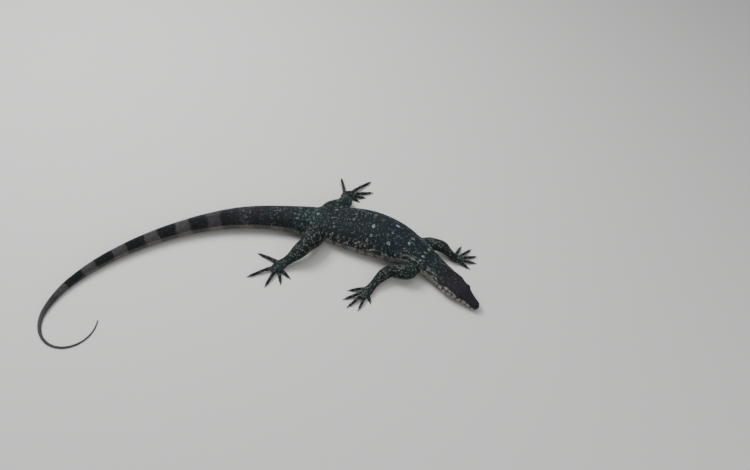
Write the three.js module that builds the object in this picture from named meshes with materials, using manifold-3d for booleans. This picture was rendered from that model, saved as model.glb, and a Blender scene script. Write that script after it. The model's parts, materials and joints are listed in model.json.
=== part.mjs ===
// Water monitor lizard, a still life-size figure. Each part that a person would name is one closed body.
// Millimetres, +Z up. The head points towards +X, the lizard's left side is +Y, and the floor is z = 0.

import * as THREE from 'three';
import { mergeVertices } from 'three/addons/utils/BufferGeometryUtils.js';
import Module from 'manifold-3d';

const wasm = await Module();
wasm.setup();

// Driving sizes
const GAP = 0.3;                 // clearance between neighbouring parts
const SINK = 0.6;                // depth that is trimmed off rounded undersides, which leaves small flats
const HEAD_LENGTH = 84;          // snout to the back of the skull
const NECK_END = 142;            // distances from the snout along the body
const TORSO_END = 424;
const TAIL_PARTS = {
  tail_base: 560, tail_middle: 700, tail_rear: 845, tail_slender_front: 918, tail_slender_rear: 985,
  tail_whip_front: 1045, tail_whip_middle: 1108, tail_whip_tip: 1166,
};
const BODY_LENGTH = 1166;        // snout to tail tip along the curve
const SNOUT = [411, -50.5];      // plan position of the snout tip
const SNOUT_HEADING = 143.8;     // plan direction in degrees from the snout back along the head
const CENTRING = [0.6, -1.5, 0]; // moves the figure's box over the origin

// The middle line on plan as arcs from the snout to the tail tip: length, turn in degrees
const ARCS = [
  [84, -1.5], [36, -2.4], [50, 9.8], [70, 14.1], [70, 10.6], [80, 2.3], [110, 10.6], [110, 14], [110, 12],
  [100, 10.1], [85, 13.6], [70, 23.1], [45, 40], [40, 45.3], [44, 50.8], [35, 38.4], [27, 28.2],
];

// Girth along the body: distance from the snout, half width, height above the middle line, depth below it
const GIRTH = [
  [0, 8.4, 7.4, 5.2], [10, 10.8, 9.2, 6.6], [20, 13, 11.2, 8], [30, 15.8, 13.8, 9.8], [38, 18.4, 16.2, 11],
  [46, 20.6, 17.6, 12.6], [56, 23, 18.2, 14.6], [66, 25, 18.4, 16.6], [76, 25.2, 18.2, 17.8],
  [84, 24.6, 18.6, 18], [100, 24.8, 19.6, 18.8], [122, 26.2, 21.5, 19.6], [142, 28.8, 24, 20.8],
  [165, 33.2, 28, 22.5], [190, 39.4, 31.5, 24], [215, 45, 34, 25], [245, 49.4, 35.5, 25.5], [275, 51.6, 35.8, 25.5],
  [310, 49.4, 34.8, 25], [340, 44.6, 33, 24.6], [365, 39.6, 31, 23.8], [390, 35.4, 29.2, 22.6],
  [424, 31.4, 27.8, 21.6], [460, 28.4, 27, 21], [500, 26, 26.4, 20.8], [546, 23.6, 25.8, 20.4],
  [590, 20.4, 24, 19.2], [630, 17.8, 22.4, 17.8], [670, 15.4, 20.8, 16.4], [753, 12.2, 18, 14],
  [834, 9.6, 14.8, 11.4], [885, 8, 12.4, 9.6], [930, 6.4, 10, 7.8], [963, 5.2, 7.9, 6.2],
  [1000, 3.8, 5.5, 4.4], [1035, 2.8, 3.8, 3.1], [1080, 2.1, 2.7, 2.1], [1125, 1.6, 1.9, 1.6], [1166, 1.1, 1.2, 1],
];

// Height of the middle line where the head and neck are held clear of the floor; behind them the belly rests
const HELD_HEIGHT = [[0, 9.5], [40, 14.8], [84, 21], [110, 22.6], [142, 23.4], [165, 23.8], [190, 23.4]];

// How square the section is above and below the middle line: 2 is an ellipse
const SQUARENESS = [
  [0, 2.3, 2.2], [50, 2.5, 2.2], [84, 2.2, 2.2], [150, 2.1, 2.4], [250, 2.1, 2.9], [380, 2.0, 2.6],
  [470, 1.8, 2.2], [700, 1.65, 2.1], [950, 1.7, 2], [1166, 2, 2],
];

// Double keel along the top of the tail
const KEEL = { start: 430, full: 620, end: 1080, height: 1.5, angle: 9, spread: 5 };

// Head details, measured from the snout tip, from the head's middle and up from the mouth line
const MOUTH = { corner: 57, groove: 1.0, lip: 0.5 };
const BLUNT_SNOUT = 7;           // length over which the snout tip rounds off
const BROW = { along: 44, length: 10, offSide: 62, spread: 14, height: 2.1 };
const ORBIT = { along: 43.5, length: 8, offSide: 33, spread: 15, height: 1.3 };
const TEMPLE = { along: 64, length: 8, offSide: 35, spread: 18, height: 0.9 };
const EYE = { along: 43.5, side: 15, up: 9.8, radius: 4.4, forward: 14, upward: 12 };
const LID = { thickness: 0.9, openLength: 3.3, openHeight: 2.65, cut: 12 };
const EAR = {
  along: 75.5, side: 24.4, up: 3.4, length: 2.3, height: 3.7, depth: 2.2, forward: -8, upward: 0,
};
const NOSTRIL = {
  along: 8.6, side: 8.3, up: 5.4, length: 1.8, height: 1.2, depth: 1.6, forward: 20, upward: 35,
};

const rad = THREE.MathUtils.degToRad;
const UP = new THREE.Vector3(0, 0, 1);

// Materials
const paint = (color, roughness) => new THREE.MeshStandardMaterial({ color, roughness, metalness: 0 });
const darkSkin = paint(0x22282b, 0.6);
const headSkin = paint(0x2b2e33, 0.6);
const limbSkin = paint(0x2a332f, 0.62);
const tailSkin = paint(0x2f2f33, 0.6);
const clawHorn = paint(0x17130f, 0.35);
const eyeGloss = paint(0x0c0a08, 0.08);

// A smooth curve through the rows of a table whose first column is the distance
function smooth(table) {
  const width = table[0].length - 1;
  const stations = table.map((row) => row[0]);
  const values = table.flatMap((row) => row.slice(1));
  const curve = new THREE.CubicInterpolant(stations, values, width);
  return (distance) => {
    const inside = THREE.MathUtils.clamp(distance, stations[0], stations[stations.length - 1]);
    return Array.from(curve.evaluate(inside));
  };
}

const girth = smooth(GIRTH);
const heldHeight = smooth(HELD_HEIGHT);
const squareness = smooth(SQUARENESS);

// Plan points and headings of the middle line, one for each millimetre
function planLine() {
  const points = [new THREE.Vector2(...SNOUT)];
  let heading = rad(SNOUT_HEADING);
  const here = points[0].clone();
  for (const [length, turn] of ARCS) {
    for (let step = 0; step < length; step += 1) {
      heading += rad(turn) / length / 2;
      here.add(new THREE.Vector2(Math.cos(heading), Math.sin(heading)));
      heading += rad(turn) / length / 2;
      points.push(here.clone());
    }
  }
  return points;
}

const plan = planLine();

function middle(distance) {
  const whole = Math.min(Math.floor(distance), plan.length - 2);
  const spot = plan[whole].clone().lerp(plan[whole + 1], distance - whole);
  const bottom = girth(distance)[2];
  const resting = bottom - Math.min(SINK, bottom / 4);
  const heldEnd = HELD_HEIGHT[HELD_HEIGHT.length - 1][0];
  const height = distance < heldEnd ? heldHeight(distance)[0] : resting;
  return new THREE.Vector3(spot.x, spot.y, height);
}

// The frame of a section: its middle, and the ways forward, left and up
function trunkFrame(distance) {
  const ahead = middle(Math.max(distance - 1.5, 0));
  const behind = middle(Math.min(distance + 1.5, BODY_LENGTH));
  const forward = ahead.sub(behind).normalize();
  const left = UP.clone().cross(forward).normalize();
  const up = forward.clone().cross(left);
  return { centre: middle(distance), forward, left, up };
}

function trunkPoint(distance, side, height) {
  const { centre, left, up } = trunkFrame(distance);
  return centre.addScaledVector(left, side).addScaledVector(up, height);
}

const bell = (offset, spread) => Math.exp(-((offset / spread) ** 2));
const power = (value, exponent) => Math.sign(value) * Math.abs(value) ** exponent;

// A closed form: a ball whose points are moved to place(row, angle, side); row 0 is one pole
function closedForm(rows, sides, place) {
  const ball = new THREE.SphereGeometry(1, sides, rows);
  const { position, uv } = ball.attributes;
  for (let i = 0; i < position.count; i += 1) {
    const row = Math.round((1 - uv.getY(i)) * rows);
    const side = Math.round(uv.getX(i) * sides) % sides;
    const spot = place(row, (side / sides) * 2 * Math.PI, side);
    position.setXYZ(i, spot.x, spot.y, spot.z);
  }
  return ball;
}

// A closed mesh as a solid for cutting and joining
function solid(geometry) {
  const bare = geometry.clone();
  bare.deleteAttribute('normal');
  bare.deleteAttribute('uv');
  const merged = mergeVertices(bare, 1e-4);
  return new wasm.Manifold(new wasm.Mesh({
    numProp: 3,
    vertProperties: new Float32Array(merged.attributes.position.array),
    triVerts: new Uint32Array(merged.index.array),
  }));
}

const join = (solids) => solids.reduce((sum, next) => sum.add(next));

function largest(body) {
  const pieces = body.decompose();
  return pieces.reduce((best, next) => (next.volume() > best.volume() ? next : best));
}

const floorBox = new THREE.BoxGeometry(2000, 2000, 200);
floorBox.translate(0, 0, -100);
const floor = solid(floorBox);

// The finished node: trimmed level with the floor, in one piece
function node(name, body, material) {
  const whole = largest(body.subtract(floor));
  const { vertProperties, triVerts, numProp } = whole.getMesh();
  const geometry = new THREE.BufferGeometry();
  const points = new Float32Array((vertProperties.length / numProp) * 3);
  for (let i = 0; i < points.length / 3; i += 1) {
    points.set(vertProperties.subarray(i * numProp, i * numProp + 3), i * 3);
  }
  geometry.setAttribute('position', new THREE.BufferAttribute(points, 3));
  geometry.setIndex(new THREE.BufferAttribute(new Uint32Array(triVerts), 1));
  geometry.computeVertexNormals();
  const mesh = new THREE.Mesh(geometry, material);
  mesh.name = name;
  return mesh;
}

const lizard = new THREE.Group();
lizard.name = 'water_monitor';
lizard.position.set(...CENTRING);

// Trunk: neck, torso and tail share one section, drawn along the middle line
function sectionPoint(distance, angle, grow = 0) {
  const [half, top, bottom] = girth(distance);
  const [above, below] = squareness(distance);
  const side = Math.cos(angle);
  const rise = Math.sin(angle);
  const exponent = 2 / (rise > 0 ? above : below);
  let height = (rise > 0 ? top : bottom) + grow;
  const fade = THREE.MathUtils.smoothstep(distance, KEEL.start, KEEL.full)
    * (1 - THREE.MathUtils.smoothstep(distance, KEEL.full, KEEL.end));
  const offTop = Math.abs(THREE.MathUtils.radToDeg(angle) - 90);
  height += rise > 0 ? KEEL.height * fade * bell(offTop - KEEL.angle, KEEL.spread) : 0;
  return [(half + grow) * power(side, exponent), height * power(rise, exponent)];
}

// Sides are set closer together near the top, where the keel is
function crowded(angle) {
  return angle + 0.3 * Math.sin(2 * (angle - Math.PI / 2)) * (Math.sin(angle) > 0 ? -1 : 0);
}

function trunkForm(start, end, step, sides, grow = 0) {
  const steps = Math.max(2, Math.round((end - start) / step));
  return closedForm(steps + 2, sides, (row, angle) => {
    const ring = THREE.MathUtils.clamp(row - 1, 0, steps);
    const distance = start + ((end - start) * ring) / steps;
    if (row === 0 || row === steps + 2) return trunkPoint(distance, 0, 0);
    return trunkPoint(distance, ...sectionPoint(distance, crowded(angle), grow));
  });
}

lizard.add(node('neck', solid(trunkForm(HEAD_LENGTH + GAP, NECK_END, 10, 28)), darkSkin));
lizard.add(node('torso', solid(trunkForm(NECK_END + GAP, TORSO_END, 13, 28)), darkSkin));
let tailStart = TORSO_END;
for (const [name, tailEnd] of Object.entries(TAIL_PARTS)) {
  const step = tailStart > 980 ? 8 : 13;
  const sides = tailStart > 980 ? 14 : 22;
  lizard.add(node(name, solid(trunkForm(tailStart + GAP, tailEnd, step, sides)), tailSkin));
  tailStart = tailEnd;
}

// Head: the mouth line is the widest level, with the jaws' lips curling in to it
const HEAD_ROWS = 34;
const HEAD_SIDES = 32;

// Section angles of the head in degrees: close together at each mouth line for the groove, even elsewhere
const LIP_ANGLES = [0, 3.2, 8];
const EVEN_ANGLES = 11;
const evenStep = (180 - 2 * LIP_ANGLES[2]) / (EVEN_ANGLES + 1);
const halfTurn = [
  ...LIP_ANGLES, ...Array.from({ length: EVEN_ANGLES }, (_, k) => LIP_ANGLES[2] + evenStep * (k + 1)),
  180 - LIP_ANGLES[2], 180 - LIP_ANGLES[1],
];
const headAngles = [...halfTurn, ...halfTurn.map((degrees) => degrees + 180)];

// A swelling on both sides of the head's upper half
function swelling(form, distance, degrees) {
  if (degrees > 180) return 0;
  const off = Math.min(Math.abs(degrees - form.offSide), Math.abs(degrees - (180 - form.offSide)));
  return form.height * bell(off, form.spread) * bell(distance - form.along, form.length);
}

function headForm() {
  return closedForm(HEAD_ROWS, HEAD_SIDES, (row, _, side) => {
    const share = THREE.MathUtils.clamp((row - 1) / (HEAD_ROWS - 2), 0, 1);
    const distance = HEAD_LENGTH * share ** 1.2;
    if (row === 0 || row === HEAD_ROWS) return trunkPoint(distance, 0, 0);
    const fromTip = 1 - Math.min(distance / BLUNT_SNOUT, 1);
    const blunt = Math.sqrt(Math.max(1 - fromTip ** 2, 0.04));
    const degrees = headAngles[side];
    const [out, height] = sectionPoint(distance, rad(degrees));
    const fromMouth = Math.min(Math.abs(degrees), Math.abs(degrees - 180), Math.abs(degrees - 360));
    const jaw = 1 - THREE.MathUtils.smoothstep(distance, MOUTH.corner - 5, MOUTH.corner + 2);
    const lips = jaw * (MOUTH.lip * bell(fromMouth - 8, 6) - MOUTH.groove * bell(fromMouth, 2.5));
    const raised = [BROW, ORBIT, TEMPLE].reduce((sum, form) => sum + swelling(form, distance, degrees), lips);
    const reach = blunt * (1 + raised / Math.hypot(out, height));
    return trunkPoint(distance, out * reach, height * reach);
  });
}

// A ball squashed to three half sizes and turned so that its third axis looks along a way out of the head
function headBall(place, sizes, way, sides = 10) {
  const ball = new THREE.SphereGeometry(1, sides, Math.round(sides * 0.6));
  ball.rotateX(Math.PI / 2);
  ball.scale(...sizes);
  ball.applyMatrix4(lookOut(place, way));
  return solid(ball);
}

// Axes at a place on the head: first along the head, second up the head, third pointing out of it
function lookOut(place, way) {
  const { forward } = trunkFrame(place.along);
  const out = way.clone().normalize();
  const first = forward.clone().addScaledVector(out, -forward.dot(out)).normalize();
  const second = out.clone().cross(first);
  const turn = new THREE.Matrix4().makeBasis(first, second, out);
  return turn.setPosition(trunkPoint(place.along, place.side, place.up));
}

// The place of a head detail on one side, and the way that it looks out of the head
function sidePlace(detail, hand) {
  return { along: detail.along, side: hand * detail.side, up: detail.up };
}

function sideWay(detail, hand) {
  const { forward, left, up } = trunkFrame(detail.along);
  return left.multiplyScalar(hand * Math.cos(rad(detail.forward)) * Math.cos(rad(detail.upward)))
    .addScaledVector(forward, Math.sin(rad(detail.forward)))
    .addScaledVector(up, Math.sin(rad(detail.upward)));
}

function hollow(detail, hand) {
  return headBall(sidePlace(detail, hand), [detail.length, detail.height, detail.depth], sideWay(detail, hand));
}

let head = solid(headForm());
for (const [sideName, hand] of [['left', 1], ['right', -1]]) {
  // The lids are a ball of skin round the eye, hollow for the eyeball and parted by an oval opening
  const eyePlace = sidePlace(EYE, hand);
  const look = sideWay(EYE, hand);
  const lids = headBall(eyePlace, Array(3).fill(EYE.radius + GAP + LID.thickness), look, 20);
  const socket = headBall(eyePlace, Array(3).fill(EYE.radius + GAP), look, 18);
  const opening = new THREE.CylinderGeometry(1, 1, LID.cut, 20);
  opening.rotateX(Math.PI / 2);
  opening.translate(0, 0, LID.cut / 2);
  opening.scale(LID.openLength, LID.openHeight, 1);
  opening.applyMatrix4(lookOut(eyePlace, look));
  head = head.add(lids).subtract(socket).subtract(solid(opening));
  head = head.subtract(hollow(EAR, hand)).subtract(hollow(NOSTRIL, hand));

  const eyeball = new THREE.SphereGeometry(EYE.radius, 16, 10);
  eyeball.applyMatrix4(lookOut(eyePlace, look));
  lizard.add(node(`eye_${sideName}`, solid(eyeball), eyeGloss));
}
lizard.add(node('head', head, headSkin));

// Limbs: root inside the body, joints, ankle and ball of the foot, then the plan places of the digit tips
const FORE = {
  radii: [
    [0, 12, 12], [0.14, 17, 16], [0.26, 17, 16], [0.42, 14.4, 13.6], [0.56, 12.2, 11.2],
    [0.79, 8.6, 7], [0.9, 10.6, 5.8], [1, 7, 4.2],
  ],
  knee: 0.48, ankle: 0.79, clawLength: 8, digit: [3.4, 2.9, 2.4],
};
const HIND = {
  radii: [
    [0, 16, 14], [0.14, 23, 20], [0.26, 21.5, 19.5], [0.42, 18, 16.6], [0.56, 15.4, 14],
    [0.79, 10.2, 8], [0.9, 12.2, 6.2], [1, 8, 4.6],
  ],
  knee: 0.47, ankle: 0.79, clawLength: 8, digit: [3.9, 3.2, 2.6],
};
const LIMBS = {
  fore_right: {
    ...FORE,
    names: ['upper_arm_right', 'forearm_right', 'hand_right'],
    line: [[284, 42, 24], [266, 7, 24], [226, 1, 20.5], [207, -16, 14], [193, -36, 8.5], [178, -58, 5]],
    tips: [[198, -70], [174, -88], [151, -84], [141, -67], [147, -45]],
  },
  fore_left: {
    ...FORE,
    names: ['upper_arm_left', 'forearm_left', 'hand_left'],
    line: [[266, 50, 24], [299, 75, 27], [327, 77, 26], [347, 69, 17], [360, 63, 9.5], [378, 64, 5]],
    tips: [[396, 45], [409, 62], [410, 80], [397, 97], [375, 102]],
  },
  hind_right: {
    ...HIND,
    names: ['thigh_right', 'shin_right', 'foot_right'],
    line: [[78, 96, 25], [62, 50, 30], [48, 26, 32], [29, 7, 21], [10, -7, 10.5], [-9, -22, 5.4]],
    tips: [[32, -36], [14, -53], [-17, -63], [-57, -45], [-48, 15]],
  },
  hind_left: {
    ...HIND,
    names: ['thigh_left', 'shin_left', 'foot_left'],
    line: [[66, 96, 25], [88, 127, 30], [111, 147, 32], [115, 168, 22], [112, 187, 10.5], [127, 204, 5.4]],
    tips: [[146, 184], [158, 198], [172, 216], [164, 248], [94, 248]],
  },
};

// Digits: how far along the palm or sole they root, how wide they fan, how they arch, and their knuckles
const DIGIT = {
  root: 0.6, lastRoot: 0.35, rootHeight: 5, fan: 5.5,
  arch: [[0, 5], [0.3, 6.4], [0.62, 5.4], [0.86, 3.1]],
  knuckles: [[0.62, 0.35, 0.1], [0.88, 0.25, 0.07]],
};
const CLAW = { halfWidth: 1.25, halfHeight: 1.8, blunt: 0.16, bend: 0.55, tipHeight: 0.35 };

// A closed tube with flat ends along part of a curve; radii(u) gives its half width and half height
function tubeForm(curve, start, end, rows, sides, radii) {
  return closedForm(rows + 2, sides, (row, angle) => {
    const ring = THREE.MathUtils.clamp(row - 1, 0, rows);
    const u = start + ((end - start) * ring) / rows;
    const centre = curve.getPointAt(u);
    if (row === 0 || row === rows + 2) return centre;
    const ahead = curve.getTangentAt(u);
    const across = ahead.clone().cross(UP).normalize();
    const above = across.clone().cross(ahead);
    const [halfWidth, halfHeight] = radii(u);
    return centre.addScaledVector(across, halfWidth * Math.cos(angle))
      .addScaledVector(above, halfHeight * Math.sin(angle));
  });
}

const vectors = (list) => list.map((xyz) => new THREE.Vector3(...xyz));
const torsoGrown = solid(trunkForm(NECK_END - 30, TORSO_END + 30, 13, 28, GAP));

// The line of one digit from inside the palm or sole, and the way that it points on plan
function digitCourse(limb, curve, order) {
  const share = order === 4 ? DIGIT.lastRoot : DIGIT.root;
  const root = curve.getPointAt(limb.ankle + (1 - limb.ankle) * share);
  const across = UP.clone().cross(curve.getTangentAt(1)).normalize();
  const tip = new THREE.Vector3(...limb.tips[order], 0);
  const leaning = Math.sign(tip.clone().sub(root).dot(across)) || 1;
  root.addScaledVector(across, (leaning * DIGIT.fan * Math.abs(order - 2)) / 2).setZ(DIGIT.rootHeight);
  const way = tip.clone().sub(root).setZ(0);
  const reach = way.length() - limb.clawLength;
  way.normalize();
  const arch = [...DIGIT.arch, [1, limb.digit[2] + 0.1]];
  const points = arch.map(([part, height]) => root.clone().addScaledVector(way, reach * part).setZ(height));
  return { line: new THREE.CatmullRomCurve3(points, false, 'centripetal'), way };
}

function digitSolid(line, [rootRadius, midRadius, endRadius]) {
  return solid(tubeForm(line, 0, 1, 8, 7, (u) => {
    const even = u < 0.5
      ? THREE.MathUtils.lerp(rootRadius, midRadius, u * 2)
      : THREE.MathUtils.lerp(midRadius, endRadius, u * 2 - 1);
    const swell = DIGIT.knuckles.reduce((sum, [at, height, spread]) => sum + height * bell(u - at, spread), 0);
    return [even + swell, even + swell];
  }));
}

// A flattened horn that leaves the digit level and curves down to the floor
function clawSolid(line, way, length) {
  const ahead = line.getTangentAt(1);
  const root = line.getPointAt(1).addScaledVector(ahead, GAP);
  const bend = root.clone().addScaledVector(ahead, length * CLAW.bend);
  const tip = root.clone().addScaledVector(way, length).setZ(CLAW.tipHeight);
  const course = new THREE.QuadraticBezierCurve3(root, bend, tip);
  return solid(tubeForm(course, 0, 1, 4, 6, (u) => [
    CLAW.halfWidth * (1 - u) + CLAW.blunt, CLAW.halfHeight * (1 - u) ** 0.9 + CLAW.blunt,
  ]));
}

for (const [limbName, limb] of Object.entries(LIMBS)) {
  const curve = new THREE.CatmullRomCurve3(vectors(limb.line), false, 'centripetal');
  const radii = smooth(limb.radii);
  const { knee, ankle } = limb;
  const halfGap = GAP / 2 / curve.getLength();
  const upper = solid(tubeForm(curve, 0, knee - halfGap, 8, 16, radii)).subtract(torsoGrown);
  lizard.add(node(limb.names[0], upper, limbSkin));
  const lower = solid(tubeForm(curve, knee + halfGap, ankle - halfGap, 8, 14, radii)).subtract(torsoGrown);
  lizard.add(node(limb.names[1], lower, limbSkin));

  // Palm or sole, with the digits rooted in it and fanned out to their tips
  const pieces = [solid(tubeForm(curve, ankle + halfGap, 1, 6, 16, radii))];
  for (let order = 0; order < limb.tips.length; order += 1) {
    const { line, way } = digitCourse(limb, curve, order);
    pieces.push(digitSolid(line, limb.digit));
    const claw = clawSolid(line, way, limb.clawLength);
    lizard.add(node(`claw_${limbName}_${order + 1}`, claw, clawHorn));
  }
  lizard.add(node(limb.names[2], join(pieces), limbSkin));
}

export default lizard;
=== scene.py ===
import bmesh
import bpy
import json
import math
import numpy as np
from mathutils import Matrix, Vector
from mathutils.bvhtree import BVHTree
from mathutils.kdtree import KDTree

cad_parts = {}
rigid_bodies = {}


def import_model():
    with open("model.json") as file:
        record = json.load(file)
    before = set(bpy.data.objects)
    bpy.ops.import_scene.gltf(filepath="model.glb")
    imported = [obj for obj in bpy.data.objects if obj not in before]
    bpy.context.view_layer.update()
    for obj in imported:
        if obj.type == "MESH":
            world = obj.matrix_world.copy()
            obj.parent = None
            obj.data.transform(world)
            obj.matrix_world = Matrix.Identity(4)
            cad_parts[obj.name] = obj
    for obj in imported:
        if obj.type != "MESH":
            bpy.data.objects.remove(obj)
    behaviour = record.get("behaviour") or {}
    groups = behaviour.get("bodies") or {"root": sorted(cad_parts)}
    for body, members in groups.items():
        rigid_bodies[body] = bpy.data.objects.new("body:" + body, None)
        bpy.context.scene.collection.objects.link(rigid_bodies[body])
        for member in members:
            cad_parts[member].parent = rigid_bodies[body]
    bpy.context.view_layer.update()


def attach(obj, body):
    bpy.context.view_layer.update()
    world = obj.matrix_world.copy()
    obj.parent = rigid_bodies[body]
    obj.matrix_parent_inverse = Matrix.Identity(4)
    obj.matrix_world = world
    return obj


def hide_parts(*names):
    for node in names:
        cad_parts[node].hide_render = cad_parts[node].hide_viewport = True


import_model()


# Trunk skin
# The head, neck, body and tail are one long tube of skin over the flesh. It is drawn ring by ring along
# a middle line that bends on the floor, and it lies inside the figure's outline by the depth of the scales.
MM = 0.001
CENTRING = np.array([0.6, -1.5, 0.0])
COAT_DEPTH = 0.35
SINK = 0.6
HEAD_END = 84
BODY_LENGTH = 1166
SNOUT = np.array([411, -50.5])
SNOUT_HEADING = 143.8

# The middle line on plan as arcs from the snout to the tail tip: length and turn in degrees
ARCS = [
    (84, -1.5), (36, -2.4), (50, 9.8), (70, 14.1), (70, 10.6), (80, 2.3), (110, 10.6), (110, 14), (110, 12),
    (100, 10.1), (85, 13.6), (70, 23.1), (45, 40), (40, 45.3), (44, 50.8), (35, 38.4), (27, 28.2),
]

# Distance from the snout, half width, height above the middle line and depth below it
GIRTH = [
    (0, 8.4, 7.4, 5.2), (10, 10.8, 9.2, 6.6), (20, 13, 11.2, 8), (30, 15.8, 13.8, 9.8), (38, 18.4, 16.2, 11),
    (46, 20.6, 17.6, 12.6), (56, 23, 18.2, 14.6), (66, 25, 18.4, 16.6), (76, 25.2, 18.2, 17.8),
    (84, 24.6, 18.6, 18), (100, 24.8, 19.6, 18.8), (122, 26.2, 21.5, 19.6), (142, 28.8, 24, 20.8),
    (165, 33.2, 28, 22.5), (190, 39.4, 31.5, 24), (215, 45, 34, 25), (245, 49.4, 35.5, 25.5),
    (275, 51.6, 35.8, 25.5), (310, 49.4, 34.8, 25), (340, 44.6, 33, 24.6), (365, 39.6, 31, 23.8),
    (390, 35.4, 29.2, 22.6), (424, 31.4, 27.8, 21.6), (460, 28.4, 27, 21), (500, 26, 26.4, 20.8),
    (546, 23.6, 25.8, 20.4), (590, 20.4, 24, 19.2), (630, 17.8, 22.4, 17.8), (670, 15.4, 20.8, 16.4),
    (753, 12.2, 18, 14), (834, 9.6, 14.8, 11.4), (885, 8, 12.4, 9.6), (930, 6.4, 10, 7.8),
    (963, 5.2, 7.9, 6.2),
    (1000, 3.8, 5.5, 4.4), (1035, 2.8, 3.8, 3.1), (1080, 2.1, 2.7, 2.1), (1125, 1.6, 1.9, 1.6),
    (1166, 1.1, 1.2, 1),
]
HELD_HEIGHT = [(0, 9.5), (40, 14.8), (84, 21), (110, 22.6), (142, 23.4), (165, 23.8), (190, 23.4)]
SQUARENESS = [
    (0, 2.3, 2.2), (50, 2.5, 2.2), (84, 2.2, 2.2), (150, 2.1, 2.4), (250, 2.1, 2.9), (380, 2.0, 2.6),
    (470, 1.8, 2.2), (700, 1.65, 2.1), (950, 1.7, 2), (1166, 2, 2),
]
KEEL_HEIGHT, KEEL_ANGLE, KEEL_SPREAD = 1.2, 9, 5
MOUTH_CORNER = 57


def smooth_table(rows):
    """Reads a table at any distance, along a smooth curve through its rows."""
    rows = np.array(rows, float)
    at, values = rows[:, 0], rows[:, 1:]
    rise = np.diff(values, axis=0) / np.diff(at)[:, None]
    slope = np.vstack([rise[:1], (rise[1:] + rise[:-1]) / 2, rise[-1:]])

    def read(distance):
        inside = np.clip(np.asarray(distance, float), at[0], at[-1])
        row = np.clip(np.searchsorted(at, inside, side="right") - 1, 0, len(at) - 2)
        span = (at[row + 1] - at[row])[..., None]
        t = (inside - at[row])[..., None] / span
        start = (2 * t**3 - 3 * t**2 + 1) * values[row] + (t**3 - 2 * t**2 + t) * span * slope[row]
        end = (3 * t**2 - 2 * t**3) * values[row + 1] + (t**3 - t**2) * span * slope[row + 1]
        return start + end

    return read


girth = smooth_table(GIRTH)
held_height = smooth_table(HELD_HEIGHT)
squareness = smooth_table(SQUARENESS)


def bell(offset, spread):
    return np.exp(-((offset / spread) ** 2))


def ease(value, low, high):
    """Rises smoothly from 0 at low to 1 at high."""
    t = np.clip((value - low) / (high - low), 0, 1)
    return t * t * (3 - 2 * t)


def unit(vectors):
    return vectors / np.linalg.norm(vectors, axis=-1, keepdims=True)


turns = np.concatenate([np.full(length, turn / length) for length, turn in ARCS])
headings = np.radians(SNOUT_HEADING + np.cumsum(turns) - turns / 2)
plan_steps = np.stack([np.cos(headings), np.sin(headings)], axis=1)
plan_line = np.vstack([[0, 0], np.cumsum(plan_steps, axis=0)]) + SNOUT


def middle(distance):
    """Points of the middle line, in millimetres."""
    distance = np.asarray(distance, float)
    stations = np.arange(len(plan_line))
    x, y = (np.interp(distance, stations, plan_line[:, axis]) for axis in range(2))
    bottom = girth(distance)[..., 2]
    resting = bottom - np.minimum(SINK, bottom / 4)
    held = held_height(distance)[..., 0]
    return np.stack([x, y, np.where(distance < HELD_HEIGHT[-1][0], held, resting)], axis=-1)


def trunk_axes(distance):
    """The middle, and the ways forward, left and up, at a distance from the snout."""
    distance = np.asarray(distance, float)
    ahead = middle(np.maximum(distance - 1.5, 0))
    behind = middle(np.minimum(distance + 1.5, BODY_LENGTH))
    forward = unit(ahead - behind)
    left = unit(np.cross([0, 0, 1], forward))
    return middle(distance), forward, left, np.cross(forward, left)


def relief(distance, degrees):
    """How far the flesh stands out from the plain section, in millimetres; 90 degrees is the back."""
    upper = ease(degrees, 0, 6) * (1 - ease(degrees, 174, 180))
    from_top = np.abs(degrees - 90)
    from_mouth = np.minimum(np.minimum(np.abs(degrees), np.abs(degrees - 180)), np.abs(degrees - 360))
    jaw = 1 - ease(distance, MOUTH_CORNER - 5, MOUTH_CORNER + 2)
    lips = jaw * (0.5 * bell(from_mouth - 8, 6) - 0.9 * bell(from_mouth, 2.2))
    brow = upper * 2.0 * bell(from_top - 28, 14) * bell(distance - 44, 10)
    orbit = upper * 1.3 * bell(from_top - 57, 15) * bell(distance - 43.5, 8)
    crown_hollow = -0.7 * bell(from_top, 13) * bell(distance - 45, 9)
    snout_ridge = upper * 0.6 * bell(from_top - 42, 9) * ease(distance, 10, 16) * (1 - ease(distance, 32, 38))
    cheek_hollow = (-upper * 0.6 * bell(from_top - 64, 10)
                    * ease(distance, 14, 20) * (1 - ease(distance, 32, 38)))
    temple = upper * 1.1 * bell(from_top - 55, 18) * bell(distance - 66, 8)
    jaw_muscle = 0.8 * bell(from_mouth - 14, 12) * bell(distance - 68, 8) * (degrees > 180)
    side = bell(from_top - 100, 45)
    wave = np.sin(distance * 0.92 + 0.9 * np.sin(degrees * 0.055) + 0.6 * np.sin(distance * 0.21))
    neck_folds = 0.42 * side * ease(distance, 84, 96) * (1 - ease(distance, 140, 168)) * wave
    throat_fold = -1.0 * bell(distance - 118, 2.2) * bell(from_top - 180, 55)
    slow = np.sin(distance * 0.55 + 1.3 * np.sin(degrees * 0.04) + 0.8 * np.sin(distance * 0.13))
    flank = bell(from_top - 95, 32) * ease(distance, 205, 235) * (1 - ease(distance, 350, 385))
    spine = 0.5 * bell(from_top, 5) * ease(distance, 120, 200) * (1 - ease(distance, 380, 430))
    return (lips + brow + orbit + crown_hollow + snout_ridge + cheek_hollow + temple + jaw_muscle
            + neck_folds + throat_fold + 0.4 * flank * slow + spine)


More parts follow.
